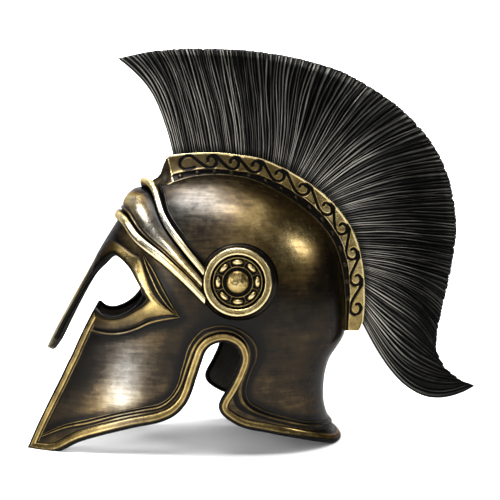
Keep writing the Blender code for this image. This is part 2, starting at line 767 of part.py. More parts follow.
def build_borders(ground, material, parts, floor):
    """Raised borders on the cheek guards, round the nape and on the nasal."""
    path = EdgePath(EDGE, EDGE_STEP)
    loop = closed_profile(BORDER_PROFILE)
    low, high = border_lines(path, CHEEK_RUN, NAPE_RUN, EDGE_INSET, EDGE_INSET + BORDER_WIDTH,
                             BORDER_STEP, CHEEK_START)
    gap = np.array(skin(*find_skin("side", *BORDER_SPLIT)))
    split = int(np.argmin([np.linalg.norm(p - gap) for p in low]))
    near = JOINT_GAP / np.linalg.norm(low[split + 1] - low[split])
    start_low = low[split] + (low[split + 1] - low[split]) * near
    start_high = high[split] + (high[split + 1] - high[split]) * near
    cheek = strip_object("cheek_border_left", ground, low[:split + 1], high[:split + 1], loop,
                         BORDER_RISE, material, parts)
    cut(cheek, floor)
    mirrored_copy(cheek, "cheek_border_right", parts)
    nape_low = ([start_low] + list(low[split + 1:]))[::-1]
    nape_high = ([start_high] + list(high[split + 1:]))[::-1]
    nape = strip_object("nape_border", ground, nape_low, nape_high, loop, BORDER_RISE,
                        material, parts, middle=True)
    cut(nape, floor)


def line_points(table, count):
    """Even places in space along a table's line."""
    return [skin(t, v) for t, v in run_pairs(smooth_runs(table)[0], np.linspace(0.0, 1.0, count))]


def build_eye_border(ground, material, parts):
    """Border over the brow and round the eye, drawn out to a spike behind it."""
    path = EdgePath(EDGE, EDGE_STEP)
    outer_runs = smooth_runs(EYE_LINE)
    low = []
    high = []
    for index, (run, spacing_count) in enumerate(zip(outer_runs, EYE_STATIONS)):
        shares = np.linspace(0.0, 1.0, spacing_count)[1 if index else 0:]
        inner = EYE_RUN + index
        start = EYE_START if index == 0 else 0.0
        low += [path.offset(inner, start + (1.0 - start) * s, EDGE_INSET) for s in shares]
        high += [skin(t, v) for t, v in run_pairs(run, shares)]
    loop = closed_profile(EYE_PROFILE, (0.66, 0.33))
    eye = strip_object("eye_border_left", ground, low, high, loop, EYE_BORDER_RISE, material, parts)
    mirrored_copy(eye, "eye_border_right", parts)


def stop_round(sections, frame, radius):
    """End a lofted strip on a round drum: trim its lines where they reach it."""
    centre, out = frame[:2]

    def clear_of(point):
        arm = point - centre
        return float(np.linalg.norm(arm - out * (arm @ out))) - radius

    kept = []
    for ring in sections:
        if min(clear_of(p) for p in ring) < 0.5 * CLEARANCE:
            break
        kept.append(ring)
    last = []
    for k in range(len(sections[0])):
        line = [ring[k] for ring in sections[len(kept) - 1:]]
        end = line[-1]
        for a, b in zip(line, line[1:]):
            near, far = clear_of(a), clear_of(b)
            if near > 0.0 >= far:
                end = a + (b - a) * near / (near - far)
                break
        last.append(end)
    return kept + [last]


def build_brow(ground, band_material, rim_material, parts, frame, stop):
    """Band across the forehead between two rims that end at the roundels."""
    lower = line_points(BAND_LOWER, BAND_STATIONS)
    upper = line_points(BAND_UPPER, BAND_STATIONS)
    inner_low = []
    inner_high = []
    for a, b in zip(lower, upper):
        share = (0.5 * RIM_WIDTH + RIM_GAP) / np.linalg.norm(b - a)
        inner_low.append(a + (b - a) * share)
        inner_high.append(b + (a - b) * share)
    loop = closed_profile(BAND_PROFILE, (0.66, 0.33))
    strip_object("brow_band", ground, inner_low, inner_high, loop, BAND_RISE, band_material, parts,
                 middle=True, stop=(frame, stop))
    rim_loop = closed_profile(RIM_PROFILE)
    for name, line, other in (("brow_rim_lower", lower, upper), ("brow_rim_upper", upper, lower)):
        low = []
        high = []
        for a, b in zip(line, other):
            half = (b - a) / np.linalg.norm(b - a) * 0.5 * RIM_WIDTH
            low.append(a - half)
            high.append(a + half)
        if name == "brow_rim_upper":
            low, high = high, low
        strip_object(name, ground, low, high, rim_loop, RIM_RISE, rim_material, parts, middle=True,
                     stop=(frame, stop))


def roundel_frame():
    """Centre of the left roundel on the bowl and the way it faces."""
    pair = find_skin("side", *ROUNDEL_CENTRE)
    centre = skin(*pair)
    out = skin_normal(*pair)
    up = np.array([0.0, 0.0, 1.0])
    up = up - out * (up @ out)
    up /= np.linalg.norm(up)
    return centre, out, np.cross(up, out), up


def turned(bm, profile, steps, frame, closed):
    """Turn a profile about the roundel's axis: radius, height and fold, which is
    how much a place is raised at every second step."""
    centre, out, along, up = frame
    rings = []
    for k in range(steps):
        angle = 2.0 * math.pi * (k + 0.5) / steps
        way = along * math.cos(angle) + up * math.sin(angle)
        rings.append([bm.verts.new(centre + way * r + out * (h + (f if k % 2 else 0.0))) if r > 0.0 else None
                      for r, h, f in profile])
    tips = {i: bm.verts.new(centre + out * profile[i][1]) for i in (0, len(profile) - 1)
            if profile[i][0] <= 0.0}
    span = len(profile) if closed else len(profile) - 1
    for k in range(steps):
        here, there = rings[k], rings[(k + 1) % steps]
        for i in range(span):
            n = (i + 1) % len(profile)
            corners = [here[i] or tips.get(i), here[n] or tips.get(n),
                       there[n] or tips.get(n), there[i] or tips.get(i)]
            face = []
            for corner in corners:
                if corner not in face:
                    face.append(corner)
            bm.faces.new(face)
    bmesh.ops.triangulate(bm, faces=bm.faces[:], quad_method="SHORT_EDGE")


def build_roundel(ground, base_material, gold, parts):
    """Drum seated on the bowl, ring and rosette on it; the right side mirrors."""
    frame = roundel_frame()
    centre, out, along, up = frame
    top = ROUNDEL_LIFT
    radius = ROUNDEL_RADIUS + ROUNDEL_STEP
    bm = bmesh.new()
    turns = ROUNDEL_SIDES
    levels = (1.0, 0.70, 0.36)
    seats = []
    for share in levels:
        ring = []
        for k in range(turns):
            angle = 2.0 * math.pi * k / turns
            way = along * math.cos(angle) + up * math.sin(angle)
            start = centre + way * radius * share + out * radius
            foot = ground.drop(start, -out)
            ring.append(bm.verts.new(foot + out * SEAT_GAP))
        seats.append(ring)
    middle = bm.verts.new(ground.drop(centre + out * radius, -out) + out * SEAT_GAP)
    shoulder = []
    for r, h in ((radius, top - ROUNDEL_STEP), (ROUNDEL_RADIUS, top)):
        shoulder.append([bm.verts.new(centre + (along * math.cos(2.0 * math.pi * k / turns)
                                                + up * math.sin(2.0 * math.pi * k / turns)) * r
                                      + out * h) for k in range(turns)])
    crown = bm.verts.new(centre + out * top)
    for k in range(turns):
        n = (k + 1) % turns
        bm.faces.new((seats[0][k], seats[0][n], shoulder[0][n], shoulder[0][k]))
        bm.faces.new((shoulder[0][k], shoulder[0][n], shoulder[1][n], shoulder[1][k]))
        bm.faces.new((shoulder[1][k], shoulder[1][n], crown))
        for outer, inner in zip(seats, seats[1:]):
            bm.faces.new((outer[n], outer[k], inner[k], inner[n]))
        bm.faces.new((seats[-1][n], seats[-1][k], middle))
    face_out(bm)
    base = new_object("roundel_base_left", bm, base_material, parts)
    low = top + CLEARANCE
    inner = ROUNDEL_RADIUS - RING_WIDTH
    ring_profile = ((ROUNDEL_RADIUS, low, 0.0), (ROUNDEL_RADIUS, low + 0.45 * RING_RISE, 0.0),
                    (ROUNDEL_RADIUS - 0.28 * RING_WIDTH, low + 0.93 * RING_RISE, 0.0),
                    (ROUNDEL_RADIUS - 0.72 * RING_WIDTH, low + RING_RISE, 0.0),
                    (inner, low + 0.55 * RING_RISE, 0.0), (inner, low, 0.0))
    bm = bmesh.new()
    turned(bm, ring_profile, turns, frame, True)
    face_out(bm)
    ring = new_object("roundel_ring_left", bm, gold, parts)
    bm = bmesh.new()
    plate = low + ROSETTE_PLATE
    petal_root = PETAL_ROOT * BOSS_RADIUS
    rosette_profile = ((0.0, low, 0.0), (ROSETTE_RADIUS, low, 0.0), (ROSETTE_RADIUS, plate, 0.0),
                       (petal_root + PETAL_LENGTH, plate, 0.0),
                       (petal_root + 0.72 * PETAL_LENGTH, plate, 0.8 * PETAL_RISE),
                       (petal_root + 0.35 * PETAL_LENGTH, plate, PETAL_RISE),
                       (petal_root, plate, 0.0), (BOSS_RADIUS, plate + 0.45 * BOSS_RISE, 0.0),
                       (0.72 * BOSS_RADIUS, plate + 0.9 * BOSS_RISE, 0.0), (0.0, plate + BOSS_RISE, 0.0))
    turned(bm, rosette_profile, 2 * PETALS, frame, False)
    face_out(bm)
    rosette = new_object("roundel_rosette_left", bm, gold, parts)
    for piece in (base, ring, rosette):
        mirrored_copy(piece, piece.name.replace("left", "right"), parts)
    return frame, radius


class MiddleLine:
    """The bowl's profile in the mirror plane under the crest holder."""

    def __init__(self):
        front = find_skin("front", 0.0, HOLDER_FRONT_UP)[1]
        heights = section(FLAT_V)[:, 0]
        back = float(np.interp(-HOLDER_BACK_UP * CROWN_UP, -heights, FLAT_V))
        ahead = skin(0.0 * np.linspace(0, 1, 160), np.linspace(front, 0.0, 160))
        behind = skin(2.0 + 0.0 * np.linspace(0, 1, 320), np.linspace(0.0, back, 320))
        self.points = np.vstack([ahead, behind[1:]])
        steps = np.linalg.norm(np.diff(self.points, axis=0), axis=1)
        self.along = np.concatenate([[0.0], np.cumsum(steps)])

    def at(self, share):
        """Point and outward normal at a share of the line."""
        place = share * self.along[-1]
        point = np.array([np.interp(place, self.along, self.points[:, k]) for k in range(3)])
        reach = 0.012
        before = [np.interp(place - reach, self.along, self.points[:, k]) for k in range(3)]
        after = [np.interp(place + reach, self.along, self.points[:, k]) for k in range(3)]
        way = np.array(after) - np.array(before)
        normal = np.array([0.0, -way[2], way[1]])
        return point, normal / np.linalg.norm(normal)

    def top(self, share):
        """Point on the holder's top face, in the mirror plane."""
        point, normal = self.at(share)
        height = np.interp(share, *zip(*HOLDER_RISE)) * HOLDER_HEIGHT
        return point + normal * height, normal


def holder_section(ground, line, share):
    """Loop across the holder: sole on the bowl, ledge, strip, frieze, top."""
    point, normal = line.at(share)
    height = float(np.interp(share, *zip(*HOLDER_RISE))) * HOLDER_HEIGHT
    side = np.array([1.0, 0.0, 0.0])
    soles = []
    for across in HOLDER_SOLES:
        start = point + side * across * HOLDER_HALF_WIDTH + normal * HOLDER_HEIGHT
        foot = ground.drop(start, -normal)
        soles.append(float((foot - point) @ normal) + CLEARANCE)
    low = soles[0]
    ledge = low + HOLDER_FOOT
    frieze = max(ledge + 0.3 * HOLDER_FOOT, height - FRIEZE_HEIGHT)
    height = max(height, frieze + 0.5 * HOLDER_FOOT)
    wide = HOLDER_HALF_WIDTH
    narrow = wide - STRIP_INSET
    outline = [(wide, low), (wide, ledge), (narrow, ledge + 0.15 * HOLDER_FOOT), (narrow, frieze),
               (wide - 0.3 * STRIP_INSET, frieze + 0.1 * HOLDER_FOOT), (wide - 0.3 * STRIP_INSET, height)]
    left = [point + side * x + normal * h for x, h in outline]
    right = [point - side * x + normal * h for x, h in outline[::-1]]
    under = [point - side * x * wide + normal * h for x, h in zip(HOLDER_SOLES[1:], soles[1:])]
    back = [point + side * x * wide + normal * h for x, h in zip(HOLDER_SOLES[1:-1], soles[1:-1])][::-1]
    return left + right + under + back


def build_holder(ground, material, parts):
    """Arched box that carries the plume, with a foot drawn out over the brow."""
    line = MiddleLine()
    shares = [s for s, _ in HOLDER_RISE if s <= HOLDER_RISE[5][0]]
    steps = int(round((1.0 - shares[-1]) * line.along[-1] / HOLDER_STEP))
    shares += list(np.linspace(shares[-1], 1.0, steps + 1)[1:-1])
    shares += [s for s, _ in HOLDER_RISE[-2:]]
    sections = [holder_section(ground, line, s) for s in sorted(set(shares))]
    feet = [0] + list(range(len(sections[0]) - 2 * len(HOLDER_SOLES) + 2, len(sections[0])))
    bm = loft(lift_clear(ground, sections, feet, False), close_flat)
    face_out(bm)
    new_object("crest_holder", bm, material, parts)
    return line


def plume_row(place):
    """Plume table at a place between its rows."""
    rows = np.array(PLUME_ROWS)
    return [np.interp(place, range(len(rows)), column) for column in rows.T]


def plume_column(line, place, valley):
    """Loop down one side of the plume and up the other, along one line of hair."""
    root, reach, up, leave, arrive, bow, thick = plume_row(place)
    start, normal = line.top(PLUME_FIRST + (PLUME_LAST - PLUME_FIRST) * root)
    start = start + normal * CLEARANCE
    tip = np.array([0.0, reach * PLUME_REACH, up * PLUME_TOP])
    away = np.array([0.0, math.cos(math.radians(leave)), math.sin(math.radians(leave))])
    home = np.array([0.0, math.cos(math.radians(arrive)), math.sin(math.radians(arrive))])
    if valley:
        tip = tip - home * LOCK_STEP
    handle = bow * np.linalg.norm(tip - start)
    left = []
    right = []
    for share, across in PLUME_ACROSS:
        middle = bezier(start, start + away * handle, tip - home * handle, tip, share)
        half = PLUME_HALF_THICK * thick * across
        if valley:
            half -= LOCK_DEPTH * min(1.0, 0.35 + share) * min(1.0, thick)
        half = max(half, LOCK_DEPTH * 0.5)
        left.append(middle + np.array([half, 0.0, 0.0]))
        right.append(middle - np.array([half, 0.0, 0.0]))
    return left + right[::-1]


def build_plume(line, material, parts):
    """Upright crest of stiff hair: locks side by side on one body."""
    columns = 2 * LOCKS + 1
    last = len(PLUME_ROWS) - 1
    loops = [plume_column(line, last * c / (columns - 1), c % 2 == 0 and 0 < c < columns - 1)
             for c in range(columns)]
    bm = loft(loops, close_flat, cap_first=False, cap_last=False)
    bm.verts.ensure_lookup_table()
    size = len(loops[0])
    for first in (0, (columns - 1) * size):
        for k in range(size // 2 - 1):
            corners = (first + k, first + k + 1, first + size - 2 - k, first + size - 1 - k)
            bm.faces.new([bm.verts[c] for c in corners])
    face_out(bm)
    new_object("crest_plume", bm, material, parts)


def main():
    """Clear the scene and build every piece."""
    for obj in list(bpy.data.objects):
        bpy.data.objects.remove(obj)
    scene = bpy.context.scene
    parts = bpy.data.collections.new("corinthian_helmet")
    cutters = bpy.data.collections.new("cutters")
    scene.collection.children.link(parts)
    scene.collection.children.link(cutters)
    bronze = metal("aged_bronze", (0.20, 0.15, 0.08), 0.38)
    gold = metal("rubbed_bronze", (0.52, 0.40, 0.18), 0.32)
    dark = metal("dark_bronze", (0.07, 0.06, 0.05), 0.45)
    hair = metal("plume_hair", (0.05, 0.05, 0.05), 0.5, 0.4)
    floor = box_cutter("below_floor", (-0.4, -0.4, -0.2), (0.4, 0.4, 0.0), cutters)
    half = half_bowl(BOWL_SPACING)
    ground = Ground(half)
    build_shell(half, bronze, parts, floor)
    build_borders(ground, gold, parts, floor)
    build_eye_border(ground, gold, parts)
    frame, radius = build_roundel(ground, dark, gold, parts)
    build_brow(ground, bronze, gold, parts, frame, radius + STOP_GAP)
    line = build_holder(ground, gold, parts)
    build_plume(line, hair, parts)
    middle = bpy.data.objects.new("helmet_middle", None)
    parts.objects.link(middle)
    for obj in list(parts.objects) + list(cutters.objects):
        if obj is not middle:
            obj.parent = middle
    middle.location = (0.0, -MIDDLE_Y, 0.0)


main()
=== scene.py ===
"""Looks of the crested Corinthian helmet: relief, patina and wear, some painted highlights, floor, lights and
camera.
"""
import math

import bpy
import numpy as np
from mathutils import Matrix, Vector, noise
from mathutils.bvhtree import BVHTree
from mathutils.geometry import delaunay_2d_cdt
from mathutils.kdtree import KDTree

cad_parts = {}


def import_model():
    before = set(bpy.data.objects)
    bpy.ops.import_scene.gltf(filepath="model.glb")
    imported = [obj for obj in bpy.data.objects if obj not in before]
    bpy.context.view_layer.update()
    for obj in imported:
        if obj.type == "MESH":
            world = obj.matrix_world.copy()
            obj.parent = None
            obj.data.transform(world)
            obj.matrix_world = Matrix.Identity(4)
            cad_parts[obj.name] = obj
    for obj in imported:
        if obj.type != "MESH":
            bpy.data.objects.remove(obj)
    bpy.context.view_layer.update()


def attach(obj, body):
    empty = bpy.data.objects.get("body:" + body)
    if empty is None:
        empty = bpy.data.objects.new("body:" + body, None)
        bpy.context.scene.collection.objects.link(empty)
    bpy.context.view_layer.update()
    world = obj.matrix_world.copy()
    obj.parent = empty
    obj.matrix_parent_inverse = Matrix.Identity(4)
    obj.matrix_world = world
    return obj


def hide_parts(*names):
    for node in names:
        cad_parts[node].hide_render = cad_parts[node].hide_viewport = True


# Driving sizes, as in the part's source
CROWN_UP = 0.2608
BOWL_LENGTH = 0.3200
HALF_WIDTH = 0.0927
WALL = 0.0022
MIDDLE_Y = 0.0079
HOLDER_HALF_WIDTH = 0.0195
HOLDER_HEIGHT = 0.0205
PLUME_HALF_THICK = 0.0140
PLUME_TOP = 0.3810
PLUME_REACH = 0.2320
MM = 0.001
MIRROR = np.array([-1.0, 1.0, 1.0])

# Least height of a piece over the floor
FLOOR_GAP = 0.0003

# Sections of the bowl: up, front, back, wide, belly and the curve handles
SECTIONS = (
    (1.000, -0.128, -0.128, 0.000, -0.128, 0.55, 0.55, 0.55, 0.55),
    (0.994, -0.212, -0.062, 0.185, -0.126, 0.54, 0.55, 0.55, 0.55),
    (0.980, -0.274, 0.004, 0.340, -0.120, 0.52, 0.55, 0.55, 0.55),
    (0.953, -0.325, 0.056, 0.490, -0.113, 0.50, 0.54, 0.55, 0.55),
    (0.916, -0.355, 0.110, 0.628, -0.106, 0.48, 0.53, 0.55, 0.55),
    (0.867, -0.388, 0.166, 0.766, -0.094, 0.46, 0.53, 0.55, 0.55),
    (0.805, -0.421, 0.220, 0.874, -0.078, 0.42, 0.54, 0.55, 0.55),
    (0.729, -0.459, 0.263, 0.954, -0.059, 0.35, 0.55, 0.55, 0.55),
    (0.644, -0.497, 0.285, 0.992, -0.044, 0.28, 0.54, 0.55, 0.55),
    (0.560, -0.536, 0.294, 1.000, -0.028, 0.23, 0.53, 0.55, 0.55),
    (0.491, -0.567, 0.297, 0.982, -0.016, 0.21, 0.52, 0.56, 0.55),
    (0.433, -0.593, 0.296, 0.949, -0.006, 0.20, 0.51, 0.58, 0.55),
    (0.391, -0.610, 0.293, 0.920, 0.000, 0.20, 0.50, 0.58, 0.55),
    (0.349, -0.626, 0.272, 0.887, 0.006, 0.20, 0.50, 0.58, 0.55),
    (0.307, -0.639, 0.248, 0.863, 0.006, 0.20, 0.50, 0.58, 0.55),
    (0.253, -0.654, 0.233, 0.848, 0.006, 0.20, 0.50, 0.58, 0.55),
    (0.192, -0.671, 0.227, 0.837, 0.006, 0.20, 0.50, 0.58, 0.55),
    (0.130, -0.686, 0.229, 0.838, 0.006, 0.19, 0.50, 0.58, 0.55),
    (0.069, -0.702, 0.244, 0.857, 0.006, 0.18, 0.50, 0.58, 0.55),
    (0.000, -0.717, 0.278, 0.906, 0.009, 0.17, 0.50, 0.58, 0.55),
    (-0.046, -0.728, 0.305, 0.949, 0.009, 0.17, 0.50, 0.58, 0.55),
)
LAST_ROW = len(SECTIONS) - 1

# Free edge of the left half: place across and up, the view where it isn't the side view, and corner where
# a smooth run ends
EDGE = (
    (0.000, 0.358, "front", "corner"), (0.075, 0.363, "front"), (0.110, 0.392, "front", "corner"),
    (0.122, 0.470, "front"), (0.150, 0.560, "front"), (0.198, 0.628, "front"), (0.262, 0.668, "front"),
    (-0.419, 0.703), (-0.398, 0.693), (-0.371, 0.659), (-0.352, 0.618), (-0.337, 0.584),
    (-0.326, 0.556, "corner"), (-0.334, 0.543), (-0.355, 0.522), (-0.388, 0.498), (-0.420, 0.487),
    (-0.447, 0.492), (-0.471, 0.513, "corner"), (-0.499, 0.452), (-0.533, 0.364), (-0.578, 0.250),
    (-0.624, 0.138), (-0.655, 0.057), (-0.677, -0.004, "corner"), (-0.595, -0.004), (-0.518, 0.042),
    (-0.374, 0.097), (-0.289, 0.122), (-0.247, 0.147), (-0.219, 0.183), (-0.204, 0.218), (-0.185, 0.289),
    (-0.163, 0.372), (-0.139, 0.401), (-0.106, 0.408), (-0.078, 0.390), (-0.065, 0.350), (-0.076, 0.299),
    (-0.098, 0.243), (-0.118, 0.201), (-0.123, 0.178), (-0.115, 0.152), (-0.065, 0.109), (0.021, 0.082),
    (0.111, 0.053), (0.175, 0.029), (0.238, 0.004), (2.000, -0.004, "nape", "corner"),
)

# Relief lines on the left side, each from one end to the other, in the same form
EYE_LINE = (
    (0.075, 0.668, "front", "corner"), (0.135, 0.727, "front"), (-0.432, 0.760), (-0.398, 0.742),
    (-0.366, 0.712), (-0.338, 0.690), (-0.329, 0.660), (-0.320, 0.623), (-0.302, 0.572), (-0.277, 0.533),
    (-0.240, 0.499, "corner"), (-0.262, 0.498), (-0.286, 0.494), (-0.318, 0.485), (-0.350, 0.464),
    (-0.383, 0.448), (-0.416, 0.440), (-0.449, 0.440), (-0.484, 0.447, "corner"),
)
LENS_FRONT = (
    (-0.333, 0.706, "corner"), (-0.330, 0.662), (-0.320, 0.623), (-0.302, 0.572), (-0.277, 0.533),
    (-0.234, 0.494, "corner"),
)
LENS_BACK = (
    (-0.331, 0.709, "corner"), (-0.300, 0.655), (-0.281, 0.611), (-0.264, 0.570), (-0.249, 0.532),
    (-0.232, 0.493, "corner"),
)
LID_UP = (
    (-0.234, 0.496, "corner"), (-0.260, 0.500), (-0.286, 0.495), (-0.318, 0.485), (-0.350, 0.464),
    (-0.383, 0.448), (-0.416, 0.440), (-0.449, 0.440), (-0.482, 0.447, "corner"),
)
LID_LOW = (
    (-0.233, 0.490, "corner"), (-0.260, 0.475), (-0.286, 0.467), (-0.318, 0.453), (-0.351, 0.434),
    (-0.383, 0.420), (-0.416, 0.413), (-0.449, 0.414), (-0.488, 0.423, "corner"),
)
DOUBLE_OUTER = (
    (-0.634, 0.039, "corner"), (-0.560, 0.076), (-0.492, 0.097), (-0.408, 0.130), (-0.338, 0.151),
    (-0.282, 0.168), (-0.248, 0.202), (-0.222, 0.251), (-0.205, 0.310), (-0.188, 0.366), (-0.171, 0.402),
    (-0.146, 0.426), (-0.109, 0.436), (-0.072, 0.424), (-0.050, 0.393), (-0.047, 0.358), (-0.059, 0.310),
    (-0.077, 0.256), (-0.085, 0.207), (-0.073, 0.172), (-0.036, 0.146), (0.036, 0.116), (0.112, 0.088),
    (0.211, 0.053), (2.000, 0.043, "nape", "corner"),
)
DOUBLE_INNER = (
    (-0.636, 0.050, "corner"), (-0.566, 0.096), (-0.497, 0.122), (-0.408, 0.155), (-0.338, 0.175),
    (-0.289, 0.190), (-0.263, 0.213), (-0.241, 0.256), (-0.229, 0.313), (-0.216, 0.375), (-0.197, 0.423),
    (-0.169, 0.456), (-0.119, 0.472), (-0.074, 0.460), (-0.037, 0.432), (-0.015, 0.397), (-0.011, 0.358),
    (-0.024, 0.315), (-0.039, 0.268), (-0.045, 0.232), (-0.038, 0.203), (-0.010, 0.176), (0.036, 0.150),
    (0.113, 0.117), (0.168, 0.098), (0.230, 0.077), (2.000, 0.070, "nape", "corner"),
)
BAND_LOWER = (
    (0.000, 0.850, "front", "corner"), (0.300, 0.826, "front"), (-0.341, 0.757), (-0.272, 0.689),
    (-0.205, 0.612), (-0.162, 0.556, "corner"),
)
BAND_UPPER = (
    (0.000, 0.958, "front", "corner"), (0.280, 0.942, "front"), (-0.267, 0.822), (-0.217, 0.730),
    (-0.170, 0.657), (-0.154, 0.628, "corner"),
)

# Profiles across a strip: share of its width, height in millimetres, wear
RIM_PROFILE = (
    (-0.16, -0.5, 0.00), (-0.10, 0.0, 0.00), (-0.02, 0.8, 0.02), (0.04, 2.5, 0.22), (0.11, 3.8, 0.82),
    (0.22, 4.5, 0.96), (0.36, 4.9, 0.98), (0.50, 5.0, 1.00), (0.64, 4.9, 0.98), (0.78, 4.4, 0.92),
    (0.89, 3.5, 0.60), (0.96, 2.3, 0.15), (1.02, 0.8, 0.02), (1.10, 0.0, 0.00), (1.16, -0.5, 0.00),
)
BAND_PROFILE = (
    (-0.02, -0.3, 0.00), (0.02, 0.5, 0.00), (0.05, 1.2, 0.05), (0.08, 2.2, 0.55), (0.12, 2.4, 0.75),
    (0.155, 1.9, 0.15), (0.18, 1.8, 0.05), (0.21, 2.5, 0.60), (0.27, 3.1, 0.86), (0.38, 3.6, 0.96),
    (0.50, 3.8, 0.95), (0.62, 3.7, 0.80), (0.74, 3.3, 0.55), (0.83, 2.8, 0.25), (0.90, 2.0, 0.10),
    (0.95, 1.2, 0.02), (0.99, 0.4, 0.00), (1.03, -0.3, 0.00),
)
DOUBLE_PROFILE = (
    (-0.04, -0.4, 0.00), (0.02, 0.05, 0.00), (0.14, 0.10, 0.00), (0.24, 0.65, 0.12), (0.33, 1.30, 0.60),
    (0.44, 1.40, 0.74), (0.53, 0.85, 0.30), (0.60, 0.20, 0.00), (0.70, 0.06, 0.00), (0.77, 0.45, 0.15),
    (0.83, 0.80, 0.70), (0.89, 0.55, 0.45), (0.96, 0.08, 0.02), (1.02, -0.3, 0.05),
)
LENS_PROFILE = (
    (0.00, -0.3, 0.00), (0.05, 0.06, 0.00), (0.20, 0.06, 0.00), (0.30, 0.80, 0.20), (0.37, 1.20, 0.85),
    (0.44, 0.70, 0.25), (0.52, 0.08, 0.00), (0.66, 0.08, 0.00), (0.74, 0.70, 0.20), (0.81, 1.05, 0.75),
    (0.88, 0.55, 0.15), (0.94, 0.05, 0.00), (1.00, -0.3, 0.02),
)
EYE_PROFILE = (
    (-0.16, -2.7, 0.00), (-0.22, -1.2, 0.00), (-0.16, 0.2, 0.00), (-0.05, 1.0, 0.03), (0.06, 1.5, 0.25),
    (0.16, 1.7, 0.80), (0.30, 1.6, 0.90), (0.50, 1.35, 0.82), (0.70, 1.1, 0.78), (0.86, 0.9, 0.70),
    (0.95, 0.5, 0.35), (1.02, -0.2, 0.00),
)

# Border round the free edge: depth into the metal and height in millimetres, wear
BORDER_PROFILE = (
    (4.2, -2.25, 0.00), (3.2, -2.9, 0.00), (1.4, -3.1, 0.00), (0.1, -2.5, 0.00), (-0.5, -1.3, 0.00),
    (-0.5, -0.1, 0.00), (0.0, 0.9, 0.00), (0.9, 1.55, 0.01), (1.8, 1.85, 0.06), (2.7, 1.95, 0.48),
    (3.5, 1.95, 0.76), (4.8, 1.85, 0.58), (6.2, 1.70, 0.60), (7.6, 1.5, 0.80), (8.5, 1.1, 0.48),
    (9.2, 0.5, 0.02), (9.8, -0.3, 0.00),
)

# Fine ridge beside the border on the cheek's front, and the lip of the eye
RIDGE_PROFILE = (
    (7.6, -0.3, 0.00), (8.0, 0.10, 0.00), (9.0, 0.12, 0.00), (9.6, 0.75, 0.35), (10.4, 1.05, 0.72),
    (11.2, 0.80, 0.45), (11.8, 0.12, 0.02), (13.0, 0.08, 0.00), (13.6, -0.3, 0.05),
)
LIP_PROFILE = (
    (4.0, -2.25, 0.00), (2.8, -2.8, 0.00), (1.2, -2.9, 0.00), (0.0, -2.3, 0.00), (-0.5, -1.2, 0.00),
    (-0.4, -0.1, 0.00), (0.1, 0.8, 0.02), (0.9, 1.35, 0.06), (1.8, 1.45, 0.35), (2.6, 1.2, 0.60),
    (3.2, 0.6, 0.60),
)

# Line on the lower lid: share of its width, height in millimetres, wear
LID_PROFILE = (
    (0.00, -0.3, 0.00), (0.06, 0.08, 0.00), (0.22, 0.10, 0.00), (0.34, 0.60, 0.35), (0.46, 0.90, 0.72),
    (0.58, 0.65, 0.40), (0.70, 0.10, 0.00), (0.92, 0.08, 0.00), (1.00, -0.3, 0.02),
)

# Dark groove and fine line above the brow's upper rim
BROW_LINE_PROFILE = (
    (0.00, 0.1, 0.00), (0.35, 0.10, 0.00), (0.50, 0.45, 0.12), (0.66, 0.60, 0.40), (0.82, 0.35, 0.12),
    (1.00, -0.2, 0.10),
)

# Wear of the fine lines along the bowl, by the share of its length
LINE_WEAR = ((-0.075, 1.0), (-0.035, 0.66))

# Roundel: where it sits, how far its face stands off the bowl, and points round it
ROUNDEL_CENTRE = (-0.0756, 0.6158)
ROUNDEL_LIFT = 0.0024
ROUNDEL_TURNS = 288
PETALS = 8
# Its turned parts: radius and height in millimetres, wear
DRUM_PROFILE = (
    (22.0, 0.25, 0.0), (29.6, 0.25, 0.0), (30.5, 0.05, 0.05), (30.9, -0.5, 0.35), (31.4, -1.2, 0.05),
    (32.0, -1.5, 0.02), (32.4, -1.7, 0.45), (32.9, -2.4, 0.10), (33.6, -3.4, 0.00), (34.6, -4.4, 0.02),
)
RING_PROFILE = (
    (30.3, -0.2, 0.00), (30.3, 1.2, 0.05), (30.15, 2.6, 0.55), (29.7, 3.5, 0.95), (28.9, 3.9, 0.98),
    (27.6, 3.65, 0.80), (26.0, 3.6, 0.78), (24.9, 3.75, 0.98), (24.2, 3.4, 0.90), (23.8, 2.2, 0.25),
    (23.5, 0.8, 0.02), (23.3, -0.2, 0.00),
)

# How far from the middle of the forehead the brow's pieces stand prouder
BROW_SWELL_REACH = 0.060

# Added thickness of the nasal towards its tip
NASAL_THICK = 0.0040

# Runs of the edge table, and where their borders start and meet
CHEEK_RUN = 3
NAPE_RUN = 4
EYE_RUN = 1
EYE_START = 0.42
EYE_INSET = 0.0016
# Wear of the eye border along it, from the nasal round the corner to the cheek's front
EYE_WEAR = ((0.00, 0.50), (0.18, 0.66), (0.34, 0.92), (0.52, 1.00), (0.66, 0.84), (0.82, 0.62), (1.00, 0.46))
BORDER_SPLIT = (-0.106, 0.408)
RIM_WIDTH = 0.0086

# Distances between points: bowl, free edge, borders and lip
BOWL_SPACING = 0.0030
EDGE_SPACING = 0.0010
BORDER_SPACING = 0.0015
LIP_SPACING = 0.0012

# How the border's width changes along the cheek's front, then from its tip to the nape, past a depth in
# millimetres that stays even
EVEN_DEPTH = 1.9
CHEEK_WIDE = 0.76
NAPE_WIDE = ((0.00, 0.76), (0.05, 0.95), (0.12, 1.12), (0.24, 1.05), (0.32, 0.90), (0.60, 0.86), (1.00, 0.84))

